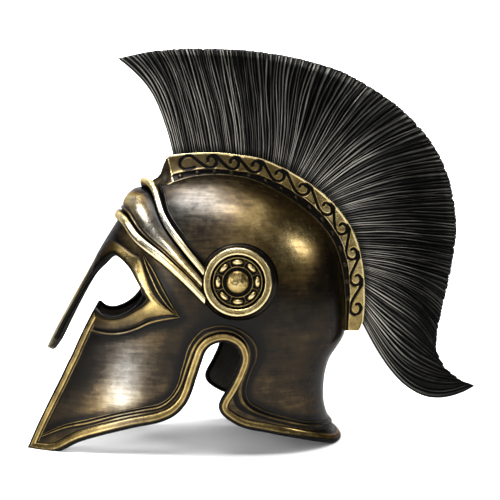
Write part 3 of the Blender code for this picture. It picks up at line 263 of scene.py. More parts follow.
# Crest holder: its reach, its columns of points, places across its top, and height along it
HOLDER_COLUMNS = 40
HOLDER_TOP = (0.965, 0.93, 0.70, 0.45, 0.20, 0.0)
HOLDER_FRONT_UP = 0.969
HOLDER_BACK_UP = 0.402
HOLDER_RISE = (
    (0.000, 0.08), (0.018, 0.12), (0.034, 0.30), (0.046, 0.60), (0.056, 0.84), (0.068, 0.97), (0.130, 0.97),
    (0.280, 0.98), (0.400, 1.05), (0.550, 1.12), (0.660, 1.06), (0.800, 0.97), (0.900, 0.88), (0.965, 0.80),
    (0.990, 0.70), (1.000, 0.58),
)

# Running scroll: height of a wave in metres, its middle below the top in millimetres, half its line's width
# as a share of its height
SCROLL_PERIOD = 0.0235
SCROLL_MIDDLE = 8.0
SCROLL_HALF = 0.048
# Places of the curls along the holder, in metres from its front end
SCROLL_CURLS = (0.0353, 0.0571, 0.0778, 0.0979, 0.1199, 0.1455, 0.1735, 0.1960, 0.2196, 0.2438, 0.2715)
# Hook before the first wave, and one wave, as shares of the period from a curl's centre
SCROLL_HOOK = (
    (0.24, -0.25), (0.05, -0.30), (-0.18, -0.30), (-0.33, -0.14), (-0.30, 0.05), (-0.17, 0.18), (0.00, 0.235),
    (0.16, 0.21),
)
SCROLL_WAVE = (
    (0.000, 0.255), (0.090, 0.250), (0.180, 0.205), (0.280, 0.125), (0.380, 0.040), (0.500, -0.065),
    (0.620, -0.155), (0.740, -0.235), (0.860, -0.280), (0.980, -0.290), (1.090, -0.240), (1.170, -0.150),
    (1.200, -0.030), (1.170, 0.080), (1.090, 0.150), (0.980, 0.180), (0.880, 0.150), (0.820, 0.070),
    (0.830, -0.020),
)

# Frieze: share of the holder where it starts, wear along it and its depth in millimetres, beads
PANEL_FRONT = 0.059
PANEL_WEAR = ((0.000, 0.40), (0.060, 0.44), (0.120, 0.55), (0.180, 0.74), (0.250, 0.72), (0.290, 0.60))
FRIEZE = ((0.000, 21.0), (0.020, 19.5), (0.034, 17.6), (0.050, 16.8), (0.120, 16.4), (0.300, 16.0))
BEADS = 15
BEAD_FIRST = 0.0260
BEAD_STEP = 0.0168
# Flare of the holder's base towards the front: place along it and added half width, in metres
HOLDER_FLARE = ((0.0, 0.013), (0.012, 0.013), (0.024, 0.011), (0.040, 0.0065), (0.060, 0.0025), (0.085, 0.0))

# Plume: place along the holder, tip, angles at root and tip, bow, thickness
PLUME_ROWS = (
    (0.000, -0.543, 0.975, 101.0, 142.0, 0.40, 0.45),
    (0.045, -0.420, 0.990, 101.0, 126.0, 0.36, 0.85),
    (0.110, -0.310, 0.997, 99.0, 111.0, 0.36, 1.00),
    (0.182, -0.195, 1.000, 96.0, 101.0, 0.36, 1.00),
    (0.288, -0.010, 0.998, 87.0, 91.0, 0.36, 1.00),
    (0.374, 0.195, 0.982, 76.0, 70.0, 0.36, 1.00),
    (0.426, 0.395, 0.950, 65.0, 55.0, 0.36, 1.00),
    (0.476, 0.575, 0.892, 53.0, 38.0, 0.36, 1.00),
    (0.522, 0.735, 0.815, 42.0, 21.0, 0.36, 1.00),
    (0.576, 0.860, 0.705, 28.0, 7.0, 0.36, 1.00),
    (0.672, 0.912, 0.560, 8.0, -3.0, 0.36, 1.00),
    (0.772, 0.892, 0.440, -3.0, -15.0, 0.36, 1.00),
    (0.828, 0.850, 0.325, -15.0, -44.0, 0.38, 0.95),
    (0.866, 0.828, 0.240, -27.0, -62.0, 0.40, 0.90),
    (0.908, 0.850, 0.185, -42.0, -50.0, 0.42, 0.80),
    (0.954, 0.915, 0.138, -54.0, -12.0, 0.44, 0.70),
    (1.000, 1.012, 0.105, -64.0, 28.0, 0.48, 0.40),
)
PLUME_ACROSS = ((0.0, 0.84), (0.14, 0.94), (0.34, 1.0), (0.58, 0.97), (0.80, 0.86), (0.93, 0.72), (1.0, 0.46))
# Wear and painted highlight of the hair's ridges from root to tip, at the back and at the front of the plume
RUB_AND_GLINT_BEHIND = ((0.00, 0.38), (0.10, 0.80), (0.34, 0.62), (0.70, 0.33), (1.00, 0.28))
RUB_AND_GLINT_AHEAD = ((0.00, 0.44), (0.10, 0.72), (0.40, 0.68), (0.80, 0.60), (1.00, 0.46))
# Where the hair stands on the holder, how deep, its strands with their columns of points, and its locks
PLUME_FIRST = 0.082
PLUME_LAST = 0.946
PLUME_SUNK = 0.0012
HAIRS = 152
HAIR_COLUMNS = 7
LOCKS = 14

# Rubbed and dark places on the bowl: y and up shares, reach in metres, wear added. The three bright spots
# down the middle of the cheek are a painted highlight.
BOWL_WEAR_AND_HIGHLIGHT = (
    (-0.130, 0.905, 0.030, -0.05), (-0.220, 0.850, 0.026, 0.02), (-0.040, 0.870, 0.036, 0.12),
    (0.110, 0.710, 0.036, 0.38), (-0.030, 0.790, 0.040, 0.15), (0.142, 0.840, 0.026, 0.10),
    (0.160, 0.550, 0.030, -0.12), (-0.382, 0.350, 0.021, 0.16), (-0.388, 0.265, 0.022, 0.18),
    (-0.400, 0.170, 0.024, 0.56), (-0.320, 0.400, 0.030, 0.06), (-0.240, 0.350, 0.026, -0.15),
    (-0.350, 0.735, 0.018, 0.34), (-0.320, 0.640, 0.012, 0.20), (-0.540, 0.260, 0.026, -0.20),
    (-0.490, 0.400, 0.026, -0.20), (-0.090, 0.500, 0.035, -0.20), (0.050, 0.420, 0.045, -0.10),
    (0.200, 0.640, 0.024, -0.16), (0.220, 0.400, 0.030, 0.04), (0.060, 0.200, 0.040, 0.04),
)
BOWL_WEAR_BASE = 0.37

# Painted highlights: whitish places on the skull, the cheek and the brow where the metal's colour is taken
# out:
# y and up shares, reach in metres, share of the colour lost, and the most that is lost
PALE_HIGHLIGHT_MOST = 0.85
PALE_HIGHLIGHT_PLACES = (
    (-0.160, 0.900, 0.028, 0.60), (-0.250, 0.865, 0.020, 0.50), (-0.382, 0.360, 0.024, 0.50),
    (-0.388, 0.265, 0.024, 0.50), (-0.400, 0.170, 0.022, 0.25), (-0.310, 0.800, 0.022, 0.40),
)

# Tones of the bronze and the hair, dark to bright
SHELL_TONES = (
    (0.00, (0.003, 0.0028, 0.0025)), (0.20, (0.006, 0.005, 0.0035)), (0.36, (0.022, 0.015, 0.0075)),
    (0.52, (0.074, 0.048, 0.018)), (0.68, (0.165, 0.112, 0.039)), (0.84, (0.330, 0.252, 0.115)),
    (1.00, (0.560, 0.490, 0.340)),
)
GOLD_TONES = (
    (0.00, (0.003, 0.0028, 0.0025)), (0.22, (0.006, 0.005, 0.0035)), (0.42, (0.032, 0.022, 0.009)),
    (0.60, (0.115, 0.078, 0.026)), (0.80, (0.320, 0.232, 0.082)), (1.00, (0.680, 0.570, 0.310)),
)
HAIR_TONES = (
    (0.00, (0.0012, 0.0012, 0.0012)), (0.24, (0.004, 0.004, 0.0038)), (0.44, (0.066, 0.064, 0.056)),
    (0.68, (0.345, 0.328, 0.290)), (1.00, (0.700, 0.680, 0.620)),
)

INNER_TONES = ((0.30, (0.006, 0.005, 0.004)), (0.75, (0.035, 0.028, 0.018)))
PAPER_TONES = ((0.2, (0.86, 0.86, 0.86)), (0.8, (0.90, 0.90, 0.90)))

# Dark tint of the metal where it is seen edge on
EDGE_TINT = (0.22, 0.20, 0.17, 1.0)

# Studio: light name, place, aim, size and power
WORLD_GREY = (0.80, 0.82, 0.85)
WORLD_LIGHT = 0.10
LIGHTS = (
    ("overhead", (0.14, -0.20, 1.45), (0.05, -0.08, 0.20), (0.90, 0.60), 32.0),
    ("camera_side", (1.45, -0.30, 0.85), (0.0, 0.0, 0.16), (1.50, 0.90), 5.0),
    ("front", (0.85, -1.05, 0.30), (0.0, -0.08, 0.12), (0.26, 0.90), 7.0),
    ("rear", (0.35, 1.25, 0.85), (0.0, 0.05, 0.18), (0.45, 0.45), 4.5),
    ("brow", (-0.02, -1.05, 1.02), (0.03, -0.10, 0.20), (0.40, 0.35), 5.5),
    ("back_wall", (-0.9, 0.0, 1.9), (-2.2, 0.0, 0.9), (3.0, 0.8), 130.0),
    ("floor_light", (0.3, 0.0, 2.6), (0.0, 0.0, 0.0), (2.6, 2.6), 45.0),
)

# Camera, from the photograph
CAMERA_AZIMUTH = 82.0
CAMERA_UP = 2.0
CAMERA_ROLL = 0.25
CAMERA_DISTANCE = 0.800
CAMERA_AIM = (0.0, -0.0079, 0.1855)
CAMERA_LENS = 57.6


def travel(points):
    """Distance travelled along a line of points."""
    return np.concatenate([[0.0], np.cumsum(np.linalg.norm(np.diff(points, axis=0), axis=1))])


def unit(vectors):
    """Vectors at length one."""
    return vectors / np.maximum(np.linalg.norm(vectors, axis=-1, keepdims=True), 1e-12)


def read(table, place):
    """A table of two columns, read at places between its rows."""
    return np.interp(place, *zip(*table))


def bump(distance, half):
    """Round bump: 1 in the middle, 0 past half."""
    return np.clip(1.0 - (distance / half) ** 2, 0.0, 1.0)


def spline(points, share):
    """Centripetal curve through points at shares 0..1 of its chord length."""
    points = np.asarray(points, float)
    steps = np.linalg.norm(np.diff(points, axis=0), axis=1) ** 0.5
    knots = np.concatenate([[0.0], np.cumsum(steps)])
    points = np.vstack([2.0 * points[0] - points[1], points, 2.0 * points[-1] - points[-2]])
    knots = np.concatenate([[-steps[0]], knots, [knots[-1] + steps[-1]]])
    place = np.clip(share, 0.0, 1.0) * knots[-2]
    span = int(np.clip(np.searchsorted(knots, place, side="right") - 1, 1, len(knots) - 3))
    k = knots[span - 1:span + 3]
    level = points[span - 1:span + 3]
    for pairs in (((0, 1), (1, 2), (2, 3)), ((0, 2), (1, 3)), ((1, 2),)):
        level = [((k[b] - place) * level[n] + (place - k[a]) * level[n + 1]) / (k[b] - k[a])
                 for n, (a, b) in enumerate(pairs)]
    return level[0]


def bezier(a, b, c, d, t):
    """Cubic curve from a to d with handles b and c."""
    s = 1.0 - t
    return s * s * s * a + 3.0 * s * s * t * b + 3.0 * s * t * t * c + t * t * t * d


def between(padded, places):
    """Rows of a table with a spare row at each end, read between them and smooth from row to row."""
    i = np.minimum(places.astype(int), len(padded) - 4)
    f = (places - i)[..., None]
    p0, p1, p2, p3 = (padded[i + k] for k in range(4))
    return 0.5 * (2.0 * p1 + (p2 - p0) * f + (2.0 * p0 - 5.0 * p1 + 4.0 * p2 - p3) * f * f
                  + (3.0 * p1 - p0 - 3.0 * p2 + p3) * f ** 3)


def section(v):
    """Rows of the bowl at row places v, smooth from row to row and over the crown."""
    over_crown = ROWS[1].copy()
    over_crown[1:5] = 2.0 * ROWS[0][1:5] - ROWS[1][1:5]
    padded = np.vstack([over_crown, ROWS, 2.0 * ROWS[-1] - ROWS[-2]])
    return between(padded, np.clip(np.asarray(v, float), 0.0, LAST_ROW))


def skin(t, v):
    """Points of the bowl's outer face: t 0 in front, 1 at the side, 2 behind."""
    t = np.asarray(t, float)
    up, front, back, wide, belly, nose, cheek, nape, flank = np.moveaxis(section(v), -1, 0)
    ahead = t <= 1.0
    s = np.where(ahead, t, 2.0 - t)
    end = np.where(ahead, front, back)
    near = np.where(ahead, nose, nape)
    far = np.where(ahead, cheek, flank)
    x = bezier(0.0, near * wide, wide, wide, s)
    y = bezier(end, end, belly + far * (end - belly), belly, s)
    return np.stack([x, y - MIDDLE_Y, up + 0.0 * x], axis=-1)


# The bowl's skin rolled out flat: arc lengths along the sections and down the side
ROWS = np.array(SECTIONS) * [CROWN_UP, BOWL_LENGTH, BOWL_LENGTH, HALF_WIDTH, BOWL_LENGTH, 1, 1, 1, 1]
FLAT_V = np.linspace(0.0, LAST_ROW, 8 * LAST_ROW + 1)
FLAT_T = np.linspace(0.0, 2.0, 161)
FLAT_SIDE = 80
FLAT_POINTS = skin(FLAT_T[None, :] + 0.0 * FLAT_V[:, None], FLAT_V[:, None] + 0.0 * FLAT_T[None, :])
FLAT_ALONG = np.array([travel(line) for line in FLAT_POINTS])
FLAT_ALONG -= FLAT_ALONG[:, FLAT_SIDE:FLAT_SIDE + 1]
FLAT_DOWN = travel(FLAT_POINTS[:, FLAT_SIDE])


def along_row(v):
    """Arc lengths along the section at row place v."""
    row = np.clip(v / LAST_ROW * (len(FLAT_V) - 1), 0, len(FLAT_V) - 1.000001)
    i = int(row)
    return (1 - row + i) * FLAT_ALONG[i] + (row - i) * FLAT_ALONG[i + 1]


def flat(t, v):
    """Place on the rolled-out skin."""
    return np.array([np.interp(t, FLAT_T, along_row(v)), -np.interp(v, FLAT_V, FLAT_DOWN)])


def unroll(place):
    """t and v of a place on the rolled-out skin."""
    v = float(np.interp(-place[1], FLAT_DOWN, FLAT_V))
    return float(np.interp(place[0], along_row(v), FLAT_T)), v


def row_at(up):
    """Row place at a height, a share of the crown's."""
    return float(np.interp(-up * CROWN_UP, -section(FLAT_V)[:, 0], FLAT_V))


def find_skin(across, up, view="side"):
    """t and v of a place seen from the side or the front, or at t on the nape."""
    v = row_at(up)
    if view == "nape":
        return across, v
    line = skin(FLAT_T, v + 0.0 * FLAT_T)
    if view == "front":
        ahead = slice(0, FLAT_SIDE + 1)
        return float(np.interp(across * HALF_WIDTH, line[ahead, 0], FLAT_T[ahead])), v
    return float(np.interp(across * BOWL_LENGTH - MIDDLE_Y, line[:, 1], FLAT_T)), v


def smooth_runs(table):
    """Rolled-out points of a table, split into smooth runs at its corners."""
    runs = []
    run = []
    for across, up, *words in table:
        run.append(flat(*find_skin(across, up, *(word for word in words if word != "corner"))))
        if "corner" in words and len(run) > 1:
            runs.append(np.array(run))
            run = run[-1:]
    return runs


def dense_run(run, per):
    """Places along a smooth run, so many to each of its rows."""
    return np.array([spline(run, s) for s in np.linspace(0.0, 1.0, per * len(run))])


def run_pairs(run, shares):
    """t, v pairs at shares of the length of one smooth run."""
    dense = dense_run(run, 30)
    along = travel(dense)
    return [unroll([np.interp(share * along[-1], along, dense[:, k]) for k in range(2)]) for share in shares]


def run_points(run, count):
    """Even places in space along one smooth run."""
    return np.array([skin(t, v) for t, v in run_pairs(run, np.linspace(0.0, 1.0, count))])


def table_points(table, count):
    """Even places in space along a table's first run."""
    return run_points(smooth_runs(table)[0], count)


def run_count(run, spacing, least):
    """How many places a smooth run gets at a spacing."""
    return max(least, int(round(travel(dense_run(run, 24))[-1] / spacing)) + 1)


def inside(place, outline):
    """Whether a flat place lies inside a closed outline."""
    x, y = place
    ahead = np.roll(outline, -1, axis=0)
    crosses = (outline[:, 1] > y) != (ahead[:, 1] > y)
    rise = np.where(crosses, ahead[:, 1] - outline[:, 1], 1.0)
    at = outline[:, 0] + (y - outline[:, 1]) / rise * (ahead[:, 0] - outline[:, 0])
    return bool(np.count_nonzero(crosses & (x < at)) % 2)


def middle_rows(last, t):
    """Even places down the line of constant t, without its ends."""
    dense = np.linspace(0.0, last, 300)
    along = travel(skin(t + 0.0 * dense, dense))
    count = max(2, int(round(along[-1] / BOWL_SPACING)) + 1)
    return [(t, v) for v in np.interp(np.linspace(0.0, along[-1], count), along, dense)[1:-1]]


def orient(points, faces, out):
    """Turn faces so that most of them look along out."""
    a, b, c = (points[faces[:, k]] for k in range(3))
    return faces[:, ::-1] if (np.cross(b - a, c - a) @ out).sum() < 0.0 else faces


def half_bowl():
    """Points and faces of the left half of the bowl's outer face."""
    edge = []
    for run in smooth_runs(EDGE):
        edge += run_pairs(run, np.linspace(0.0, 1.0, run_count(run, 0.6 * BOWL_SPACING, 2)))[:-1]
    last = find_skin(*EDGE[-1][:3])
    loop = [(1.0, 0.0)] + middle_rows(edge[0][1], 0.0) + edge + [last] + middle_rows(last[1], 2.0)[::-1]
    outline = np.array([flat(t, v) for t, v in loop])
    pairs = list(loop)
    places = list(outline)
    down = FLAT_DOWN[-1]
    rows = int(round(down / BOWL_SPACING))
    for i in range(1, rows):
        v = float(np.interp(down * i / rows, FLAT_DOWN, FLAT_V))
        left, right = flat(0.0, v)[0], flat(2.0, v)[0]
        columns = max(2, int(round((right - left) / BOWL_SPACING)))
        shift = 0.5 if i % 2 else 0.0
        for j in range(1, columns):
            place = np.array([left + (right - left) * (j - shift) / columns, flat(1.0, v)[1]])
            near = np.min(np.abs(outline - place).sum(axis=1))
            if near > 0.6 * BOWL_SPACING and inside(place, outline):
                places.append(place)
                pairs.append(unroll(place))
    found = delaunay_2d_cdt([Vector((x * 1e3, y * 1e3)) for x, y in places], [],
                            [list(range(len(loop)))], 1, 1e-4)
    points = np.array([skin(*pairs[sources[0]]) for sources in found[3]])
    return points, orient(points, np.array(found[2]), np.array([1.0, 0.0, 0.0]))


def mirror_bowl(points, faces):
    """Both halves of the bowl, joined in the mirror plane."""
    other = np.arange(len(points))
    fresh = np.nonzero(np.abs(points[:, 0]) >= 1e-6)[0]
    other[fresh] = len(points) + np.arange(len(fresh))
    return np.vstack([points, points[fresh] * MIRROR]), np.vstack([faces, other[faces][:, ::-1]])


class Ground:
    """The bowl's outer face as fine facets, on which the relief is seated."""

    def __init__(self, points, faces):
        self.points = points
        self.faces = faces
        normals = np.zeros_like(points)
        a, b, c = (points[faces[:, k]] for k in range(3))
        for k in range(3):
            np.add.at(normals, faces[:, k], np.cross(b - a, c - a))
        self.normals = unit(normals)
        self.tree = BVHTree.FromPolygons([Vector(p) for p in points], faces.tolist())

    def seat(self, point):
        """Nearest place on the facets and the smooth normal there."""
        place, _, index, _ = self.tree.find_nearest(Vector(point))
        place = np.array(place)
        corners = self.faces[index]
        weights = 1.0 / np.maximum(np.linalg.norm(self.points[corners] - place, axis=1), 1e-6)
        return place, unit((self.normals[corners] * weights[:, None]).sum(axis=0))

    def drop(self, start, direction):
        """Where a straight line meets the facets."""
        return np.array(self.tree.ray_cast(Vector(start), Vector(direction))[0])


def placed(points, table, start):
    """A start value and what each row of a table of places adds round its place."""
    total = np.full(len(points), start)
    for y, z, reach, gain in table:
        away = (points[:, 1] + MIDDLE_Y - y * BOWL_LENGTH) ** 2 + (points[:, 2] - z * CROWN_UP) ** 2
        total += gain * np.exp(-away / reach ** 2)
    return total


def make_object(name, points, faces, wear, finish, uv=None):
    """A smooth mesh object. Each point keeps how far it is rubbed bright, and how far a painted highlight
    takes out its colour.
    """
    mesh = bpy.data.meshes.new(name)
    mesh.from_pydata([tuple(p) for p in points], [], [tuple(int(k) for k in f) for f in faces])
    mesh.materials.append(finish)
    # Painted highlight: whitish places where the colour is taken out.
    pale_highlight = np.clip(placed(points, PALE_HIGHLIGHT_PLACES, 0.0), 0.0, PALE_HIGHLIGHT_MOST)
    for key, values in (("wear", wear), ("pale_highlight", pale_highlight)):
        layer = mesh.attributes.new(key, "FLOAT", "POINT")
        layer.data.foreach_set("value", np.asarray(values, dtype=np.float32))
    if uv is not None:
        corners = np.empty(len(mesh.loops), dtype=np.int32)
        mesh.loops.foreach_get("vertex_index", corners)
        table = mesh.uv_layers.new(name="UVMap")
        table.data.foreach_set("uv", np.asarray(uv, dtype=np.float32)[corners].ravel())
    mesh.polygons.foreach_set("use_smooth", np.ones(len(mesh.polygons), dtype=bool))
    mesh.update()
    return link(name, mesh)


def link(name, data):
    """An object in the scene that shows its data."""
    obj = bpy.data.objects.new(name, data)
    bpy.context.scene.collection.objects.link(obj)
    return obj


def both_sides(name, points, faces, wear, finish):
    """A piece on the wearer's left and its mirror image on the right, as two objects."""
    return [make_object(name + "_left", points, faces, wear, finish),
            make_object(name + "_right", points * MIRROR, faces[:, ::-1], wear, finish)]


def both_halves(name, points, faces, wear, finish):
    """A piece and its mirror image as one object."""
    other = faces[:, ::-1] + len(points)
    return make_object(name, np.vstack([points, points * MIRROR]), np.vstack([faces, other]),
                       np.tile(wear, 2), finish)


def grid_faces(rows, columns, closed=False):
    """Quads of a grid of points, row after row."""
    i, j = np.meshgrid(np.arange(rows - 1), np.arange(columns if closed else columns - 1), indexing="ij")
    n = (j + 1) % columns
    i = i * columns
    quads = np.stack([i + j, i + n, i + columns + n, i + columns + j], axis=-1)
    return quads.reshape(-1, 4)


def ripple(points, scale, seed):
    """Soft noise between about -1 and 1 at places in space."""
    offset = Vector((seed * 7.31, seed * 3.17, seed * 5.73))
    return np.array([noise.noise(Vector(p) * scale + offset) for p in points])


def outward_grid(points, profile, ground):
    """Faces of a strip, turned away from the bowl, and its wear."""
    faces = grid_faces(len(points) // len(profile), len(profile))
    corners = points[faces[len(faces) // 2]]
    normal = np.cross(corners[1] - corners[0], corners[2] - corners[0])
    if normal @ ground.seat(corners.mean(axis=0))[1] < 0.0:
        faces = faces[:, ::-1]
    return faces, np.tile([bright for _, _, bright in profile], len(points) // len(profile))


def strip(ground, low, high, profile, rise=1.0, ends=(1.0, 1.0), fade=4):
    """Points, faces and wear of a relief strip between two lines."""
    points = []
    count = len(low)
    rises = np.broadcast_to(rise, count)
    for k, (a, b) in enumerate(zip(low, high)):
        taper = rises[k]
        for end, away in zip(ends, (k, count - 1 - k)):
            if away < fade:
                taper *= end + (1.0 - end) * away / fade
        normal = ground.seat(0.5 * (a + b))[1]
        for share, height, _ in profile:
            place = a + (b - a) * share
            foot, way = ground.seat(place)
            if not 0.0 <= share <= 1.0:
                base, way = ground.seat(a if share < 0.0 else b)
                foot = place - way * ((place - base) @ way)
            points.append(foot + unit(way + normal) * height * MM * taper)
    points = np.array(points)
    return points, *outward_grid(points, profile, ground)


class EdgePath:
    """The free edge in space, run by run, with offsets into the metal."""

    def __init__(self, table, ground, spacing):
        self.runs = []
        for run in smooth_runs(table):
            points = run_points(run, run_count(run, spacing, 3))
            normals = np.array([ground.seat(p)[1] for p in points])
            ways = unit(np.gradient(points, axis=0))
            self.runs.append((travel(points), points, ways, unit(np.cross(normals, ways)), normals))

    def turn(self, index):
        """Angle by which the edge turns into the metal after run index."""
        if not 0 <= index < len(self.runs) - 1:
            return 0.0
        way, into = self.runs[index][2][-1], self.runs[index][3][-1]
        after = self.runs[index + 1][2][0]
        return math.atan2(float(after @ into), float(after @ way))

    def offset(self, index, share, depth):
        """Place and normal at a share of a run, moved into the metal, mitred at its ends."""
        along, points, ways, into, normals = self.runs[index]
        start, end = (depth * math.tan(0.5 * self.turn(k)) for k in (index - 1, index))
        at = start + (along[-1] - start - end) * share
        inner = float(np.clip(at, 0.0, along[-1]))
        place, side, way, normal = (np.array([np.interp(inner, along, values[:, k]) for k in range(3)])
                                    for values in (points, into, ways, normals))
        return place + way * (at - inner) + unit(side) * depth, unit(normal)


def ease(line, guide, least=0.22):
    """Ease an offset line where it would fold back round a tight bend."""
    ways = unit(np.gradient(guide, axis=0))
    gaps = np.linalg.norm(np.diff(guide, axis=0), axis=1)
    for _ in range(400):
        steps = np.einsum("ij,ij->i", np.diff(line, axis=0), 0.5 * (ways[1:] + ways[:-1]))
        tight = steps < least * gaps
        if not tight.any():
            break
        moved = line.copy()
        for k in np.nonzero(tight)[0]:
            for m in (k - 1, k, k + 1, k + 2):
                if 0 < m < len(line) - 1:
                    moved[m] = 0.25 * line[m - 1] + 0.5 * line[m] + 0.25 * line[m + 1]
        line = moved
    return line


def wide_depth(depth, index, share):
    """Depth of a border's row, as the border's width changes along the edge. Round the eye it stays even."""
    if depth < EVEN_DEPTH or index < CHEEK_RUN:
        return depth
    wide = CHEEK_WIDE if index == CHEEK_RUN else float(read(NAPE_WIDE, share))
    return EVEN_DEPTH + (depth - EVEN_DEPTH) * wide


def border(path, ground, first, last, spacing, profile):
    """Points, faces and wear of the rounded border along runs of the edge."""
    stations = []
    for index in range(first, last + 1):
        count = max(4, int(round(path.runs[index][0][-1] / spacing)) + 1)
        stations += [(index, s) for s in np.linspace(0.0, 1.0, count)[1 if index > first else 0:]]
    edge = [path.offset(i, s, 0.0) for i, s in stations]
    guide = np.array([place for place, _ in edge])
    columns = []
    for depth, height, _ in profile:
        line = np.array([path.offset(i, s, wide_depth(depth, i, s) * MM)[0] for i, s in stations])
        column = []
        for place, (_, out) in zip(ease(line, guide), edge):
            foot, normal = ground.seat(place) if depth > 1.0 else (place, out)
            column.append(foot + normal * height * MM)
        columns.append(column)
    points = np.moveaxis(np.array(columns), 0, 1).reshape(-1, 3)
    points[:, 2] = np.maximum(points[:, 2], FLOOR_GAP)
    return points, *outward_grid(points, profile, ground)


def near_lines(points, lines, reach):
    """1 on a line, falling off to 0 past reach."""
    places = np.vstack(lines)
    tree = KDTree(len(places))
    for k, place in enumerate(places):
        tree.insert(Vector(place), k)
    tree.balance()
    away = np.array([tree.find(Vector(p))[2] for p in points])
    return np.exp(-(away / reach) ** 2)


def shell_wear_and_highlight(points, lines):
    """How far each place of the bowl is rubbed bright, with the painted highlight down the cheek."""
    wear = placed(points, BOWL_WEAR_AND_HIGHLIGHT, BOWL_WEAR_BASE)
    wear += 0.09 * ripple(points, 26.0, 1) + 0.05 * ripple(points, 70.0, 2)
    aside = np.abs(points[:, 0])
    wear -= 0.30 * near_lines(np.column_stack([aside, points[:, 1:]]), lines, 0.0045)
    share = points[:, 2] / CROWN_UP
    nasal = (points[:, 1] + MIDDLE_Y < -0.30 * BOWL_LENGTH) & (share < 0.70) & (share > 0.30)
    front = aside / (0.0100 + 0.0060 * np.clip((0.60 - share) / 0.22, 0.0, 1.0))
    wear = np.where(nasal & (aside < 0.30 * HALF_WIDTH), 0.02 + np.exp(-front ** 4), wear)
    return np.clip(wear, 0.0, 1.0)


def build_shell(ground, lines, outer_finish, inner_finish):
    """Skull, cheek guards, nasal and nape as one thin wall."""
    points, faces = ground.points, ground.faces
    count = len(points)
    edges = np.concatenate([faces[:, [0, 1]], faces[:, [1, 2]], faces[:, [2, 0]]])
    free = edges[~np.isin(edges @ [count, 1], edges @ [1, count])]
    share = points[:, 2] / CROWN_UP
    nasal = (np.abs(points[:, 0]) < 0.24 * HALF_WIDTH) & (points[:, 1] < -0.1)
    nasal &= (share < 0.66) & (share > 0.30)
    thick = WALL + NASAL_THICK * nasal * np.clip((0.68 - share) / 0.25, 0.0, 1.0)
    inner = points - ground.normals * thick[:, None]
    a, b = free.T + 2 * count
    everything = np.vstack([points, inner, points, inner])
    everything[:, 2] = np.maximum(everything[:, 2], FLOOR_GAP)
    polygons = [*faces, *(faces[:, ::-1] + count), *np.stack([b, a, a + count, b + count], axis=1)]
    wear = np.zeros(4 * count)
    # The bowl's wear also holds the painted highlight down the cheek.
    wear[:count] = shell_wear_and_highlight(points, lines)
    shell = make_object("visual_shell", everything, polygons, wear, outer_finish)
    shell.data.materials.append(inner_finish)
    which = np.ones(len(polygons), dtype=np.int32)
    which[:len(faces)] = 0
    shell.data.polygons.foreach_set("material_index", which)
    return shell


def build_borders(ground, path, finish):
    """Rounded borders of the cheek guards, ear notches and nape, with the ridge on the cheek's front."""
    points, faces, wear = border(path, ground, CHEEK_RUN, NAPE_RUN, BORDER_SPACING, BORDER_PROFILE)
    per = len(BORDER_PROFILE)
    top = skin(*find_skin(*BORDER_SPLIT))
    split = int(np.argmin(np.linalg.norm(points[per // 2::per] - top, axis=1)))
    faces = faces.reshape(-1, per - 1, 4)
    start, end = split * per, (split + 1) * per
    cheeks = both_sides("visual_cheek_border", points[:end], faces[:split].reshape(-1, 4), wear[:end], finish)
    nape = both_halves("visual_nape_border", points[start:], faces[split:].reshape(-1, 4) - start,
                       wear[start:], finish)
    ridge = border(path, ground, CHEEK_RUN, CHEEK_RUN, BORDER_SPACING, RIDGE_PROFILE)
    return cheeks, nape, both_sides("visual_cheek_ridge", *ridge, finish)


def build_line_strips(ground, finish):
    """Double line beside the borders, and the grooves round the eye."""
    pieces = []
    for name, low, high, profile, count, ends in (
            ("visual_double_line", DOUBLE_OUTER, DOUBLE_INNER, DOUBLE_PROFILE, 420, (1.0, 1.0)),
            ("visual_lens_line", LENS_FRONT, LENS_BACK, LENS_PROFILE, 70, (0.3, 0.3)),
            ("visual_lid_line", LID_UP, LID_LOW, LID_PROFILE, 90, (0.3, 1.0))):
        points, faces, wear = strip(ground, table_points(low, count), table_points(high, count), profile,
                                    ends=ends)
        wear = wear * read(LINE_WEAR, points[:, 1] + MIDDLE_Y)
        pieces += both_sides(name, points, faces, wear, finish)
    return pieces


def build_eye(ground, path, finish):
    """Golden border over the brow and round the eye, and the rounded lip of the opening."""
    low = []
    high = []
    for index, run, start, shares in zip((EYE_RUN, EYE_RUN + 1), smooth_runs(EYE_LINE), (EYE_START, 0.0),
                                         (np.linspace(0.0, 1.0, 110), np.linspace(0.0, 1.0, 70)[1:])):
        low += [path.offset(index, start + (1.0 - start) * s, EYE_INSET)[0] for s in shares]
        high += [skin(t, v) for t, v in run_pairs(run, shares)]
    points, faces, wear = strip(ground, np.array(low), np.array(high), EYE_PROFILE, ends=(0.2, 1.0), fade=8)
    wear = wear * np.repeat(read(EYE_WEAR, np.linspace(0.0, 1.0, len(low))), len(EYE_PROFILE))
    lip = border(path, ground, EYE_RUN, EYE_RUN + 1, LIP_SPACING, LIP_PROFILE)
    return (both_sides("visual_eye_border", points, faces, wear, finish),
            both_sides("visual_eye_lip", *lip, finish))


def build_brow(ground, band_finish, rim_finish):
    """Convex band across the forehead between two flat-topped rims, and a fine line above them."""
    lower = table_points(BAND_LOWER, 150)
    upper = table_points(BAND_UPPER, 150)
    half = unit(upper - lower) * 0.5 * RIM_WIDTH
    pieces = []
    for name, low, high, profile, swell, finish in (
            ("visual_brow_band", lower + 0.9 * half, upper - 0.9 * half, BAND_PROFILE, 0.9, band_finish),
            ("visual_brow_rim_lower", lower - 1.1 * half, lower + 1.1 * half, RIM_PROFILE, 0.15, rim_finish),
            ("visual_brow_rim_upper", upper + half, upper - half, RIM_PROFILE, 0.75, rim_finish),
            ("visual_brow_line", upper + 1.15 * half, upper + 2.1 * half, BROW_LINE_PROFILE, 0.0,
             band_finish)):
        rise = 1.0 + swell * bump(low[:, 0], BROW_SWELL_REACH)
        pieces.append(both_halves(name, *strip(ground, low, high, profile, rise), finish))
    return pieces


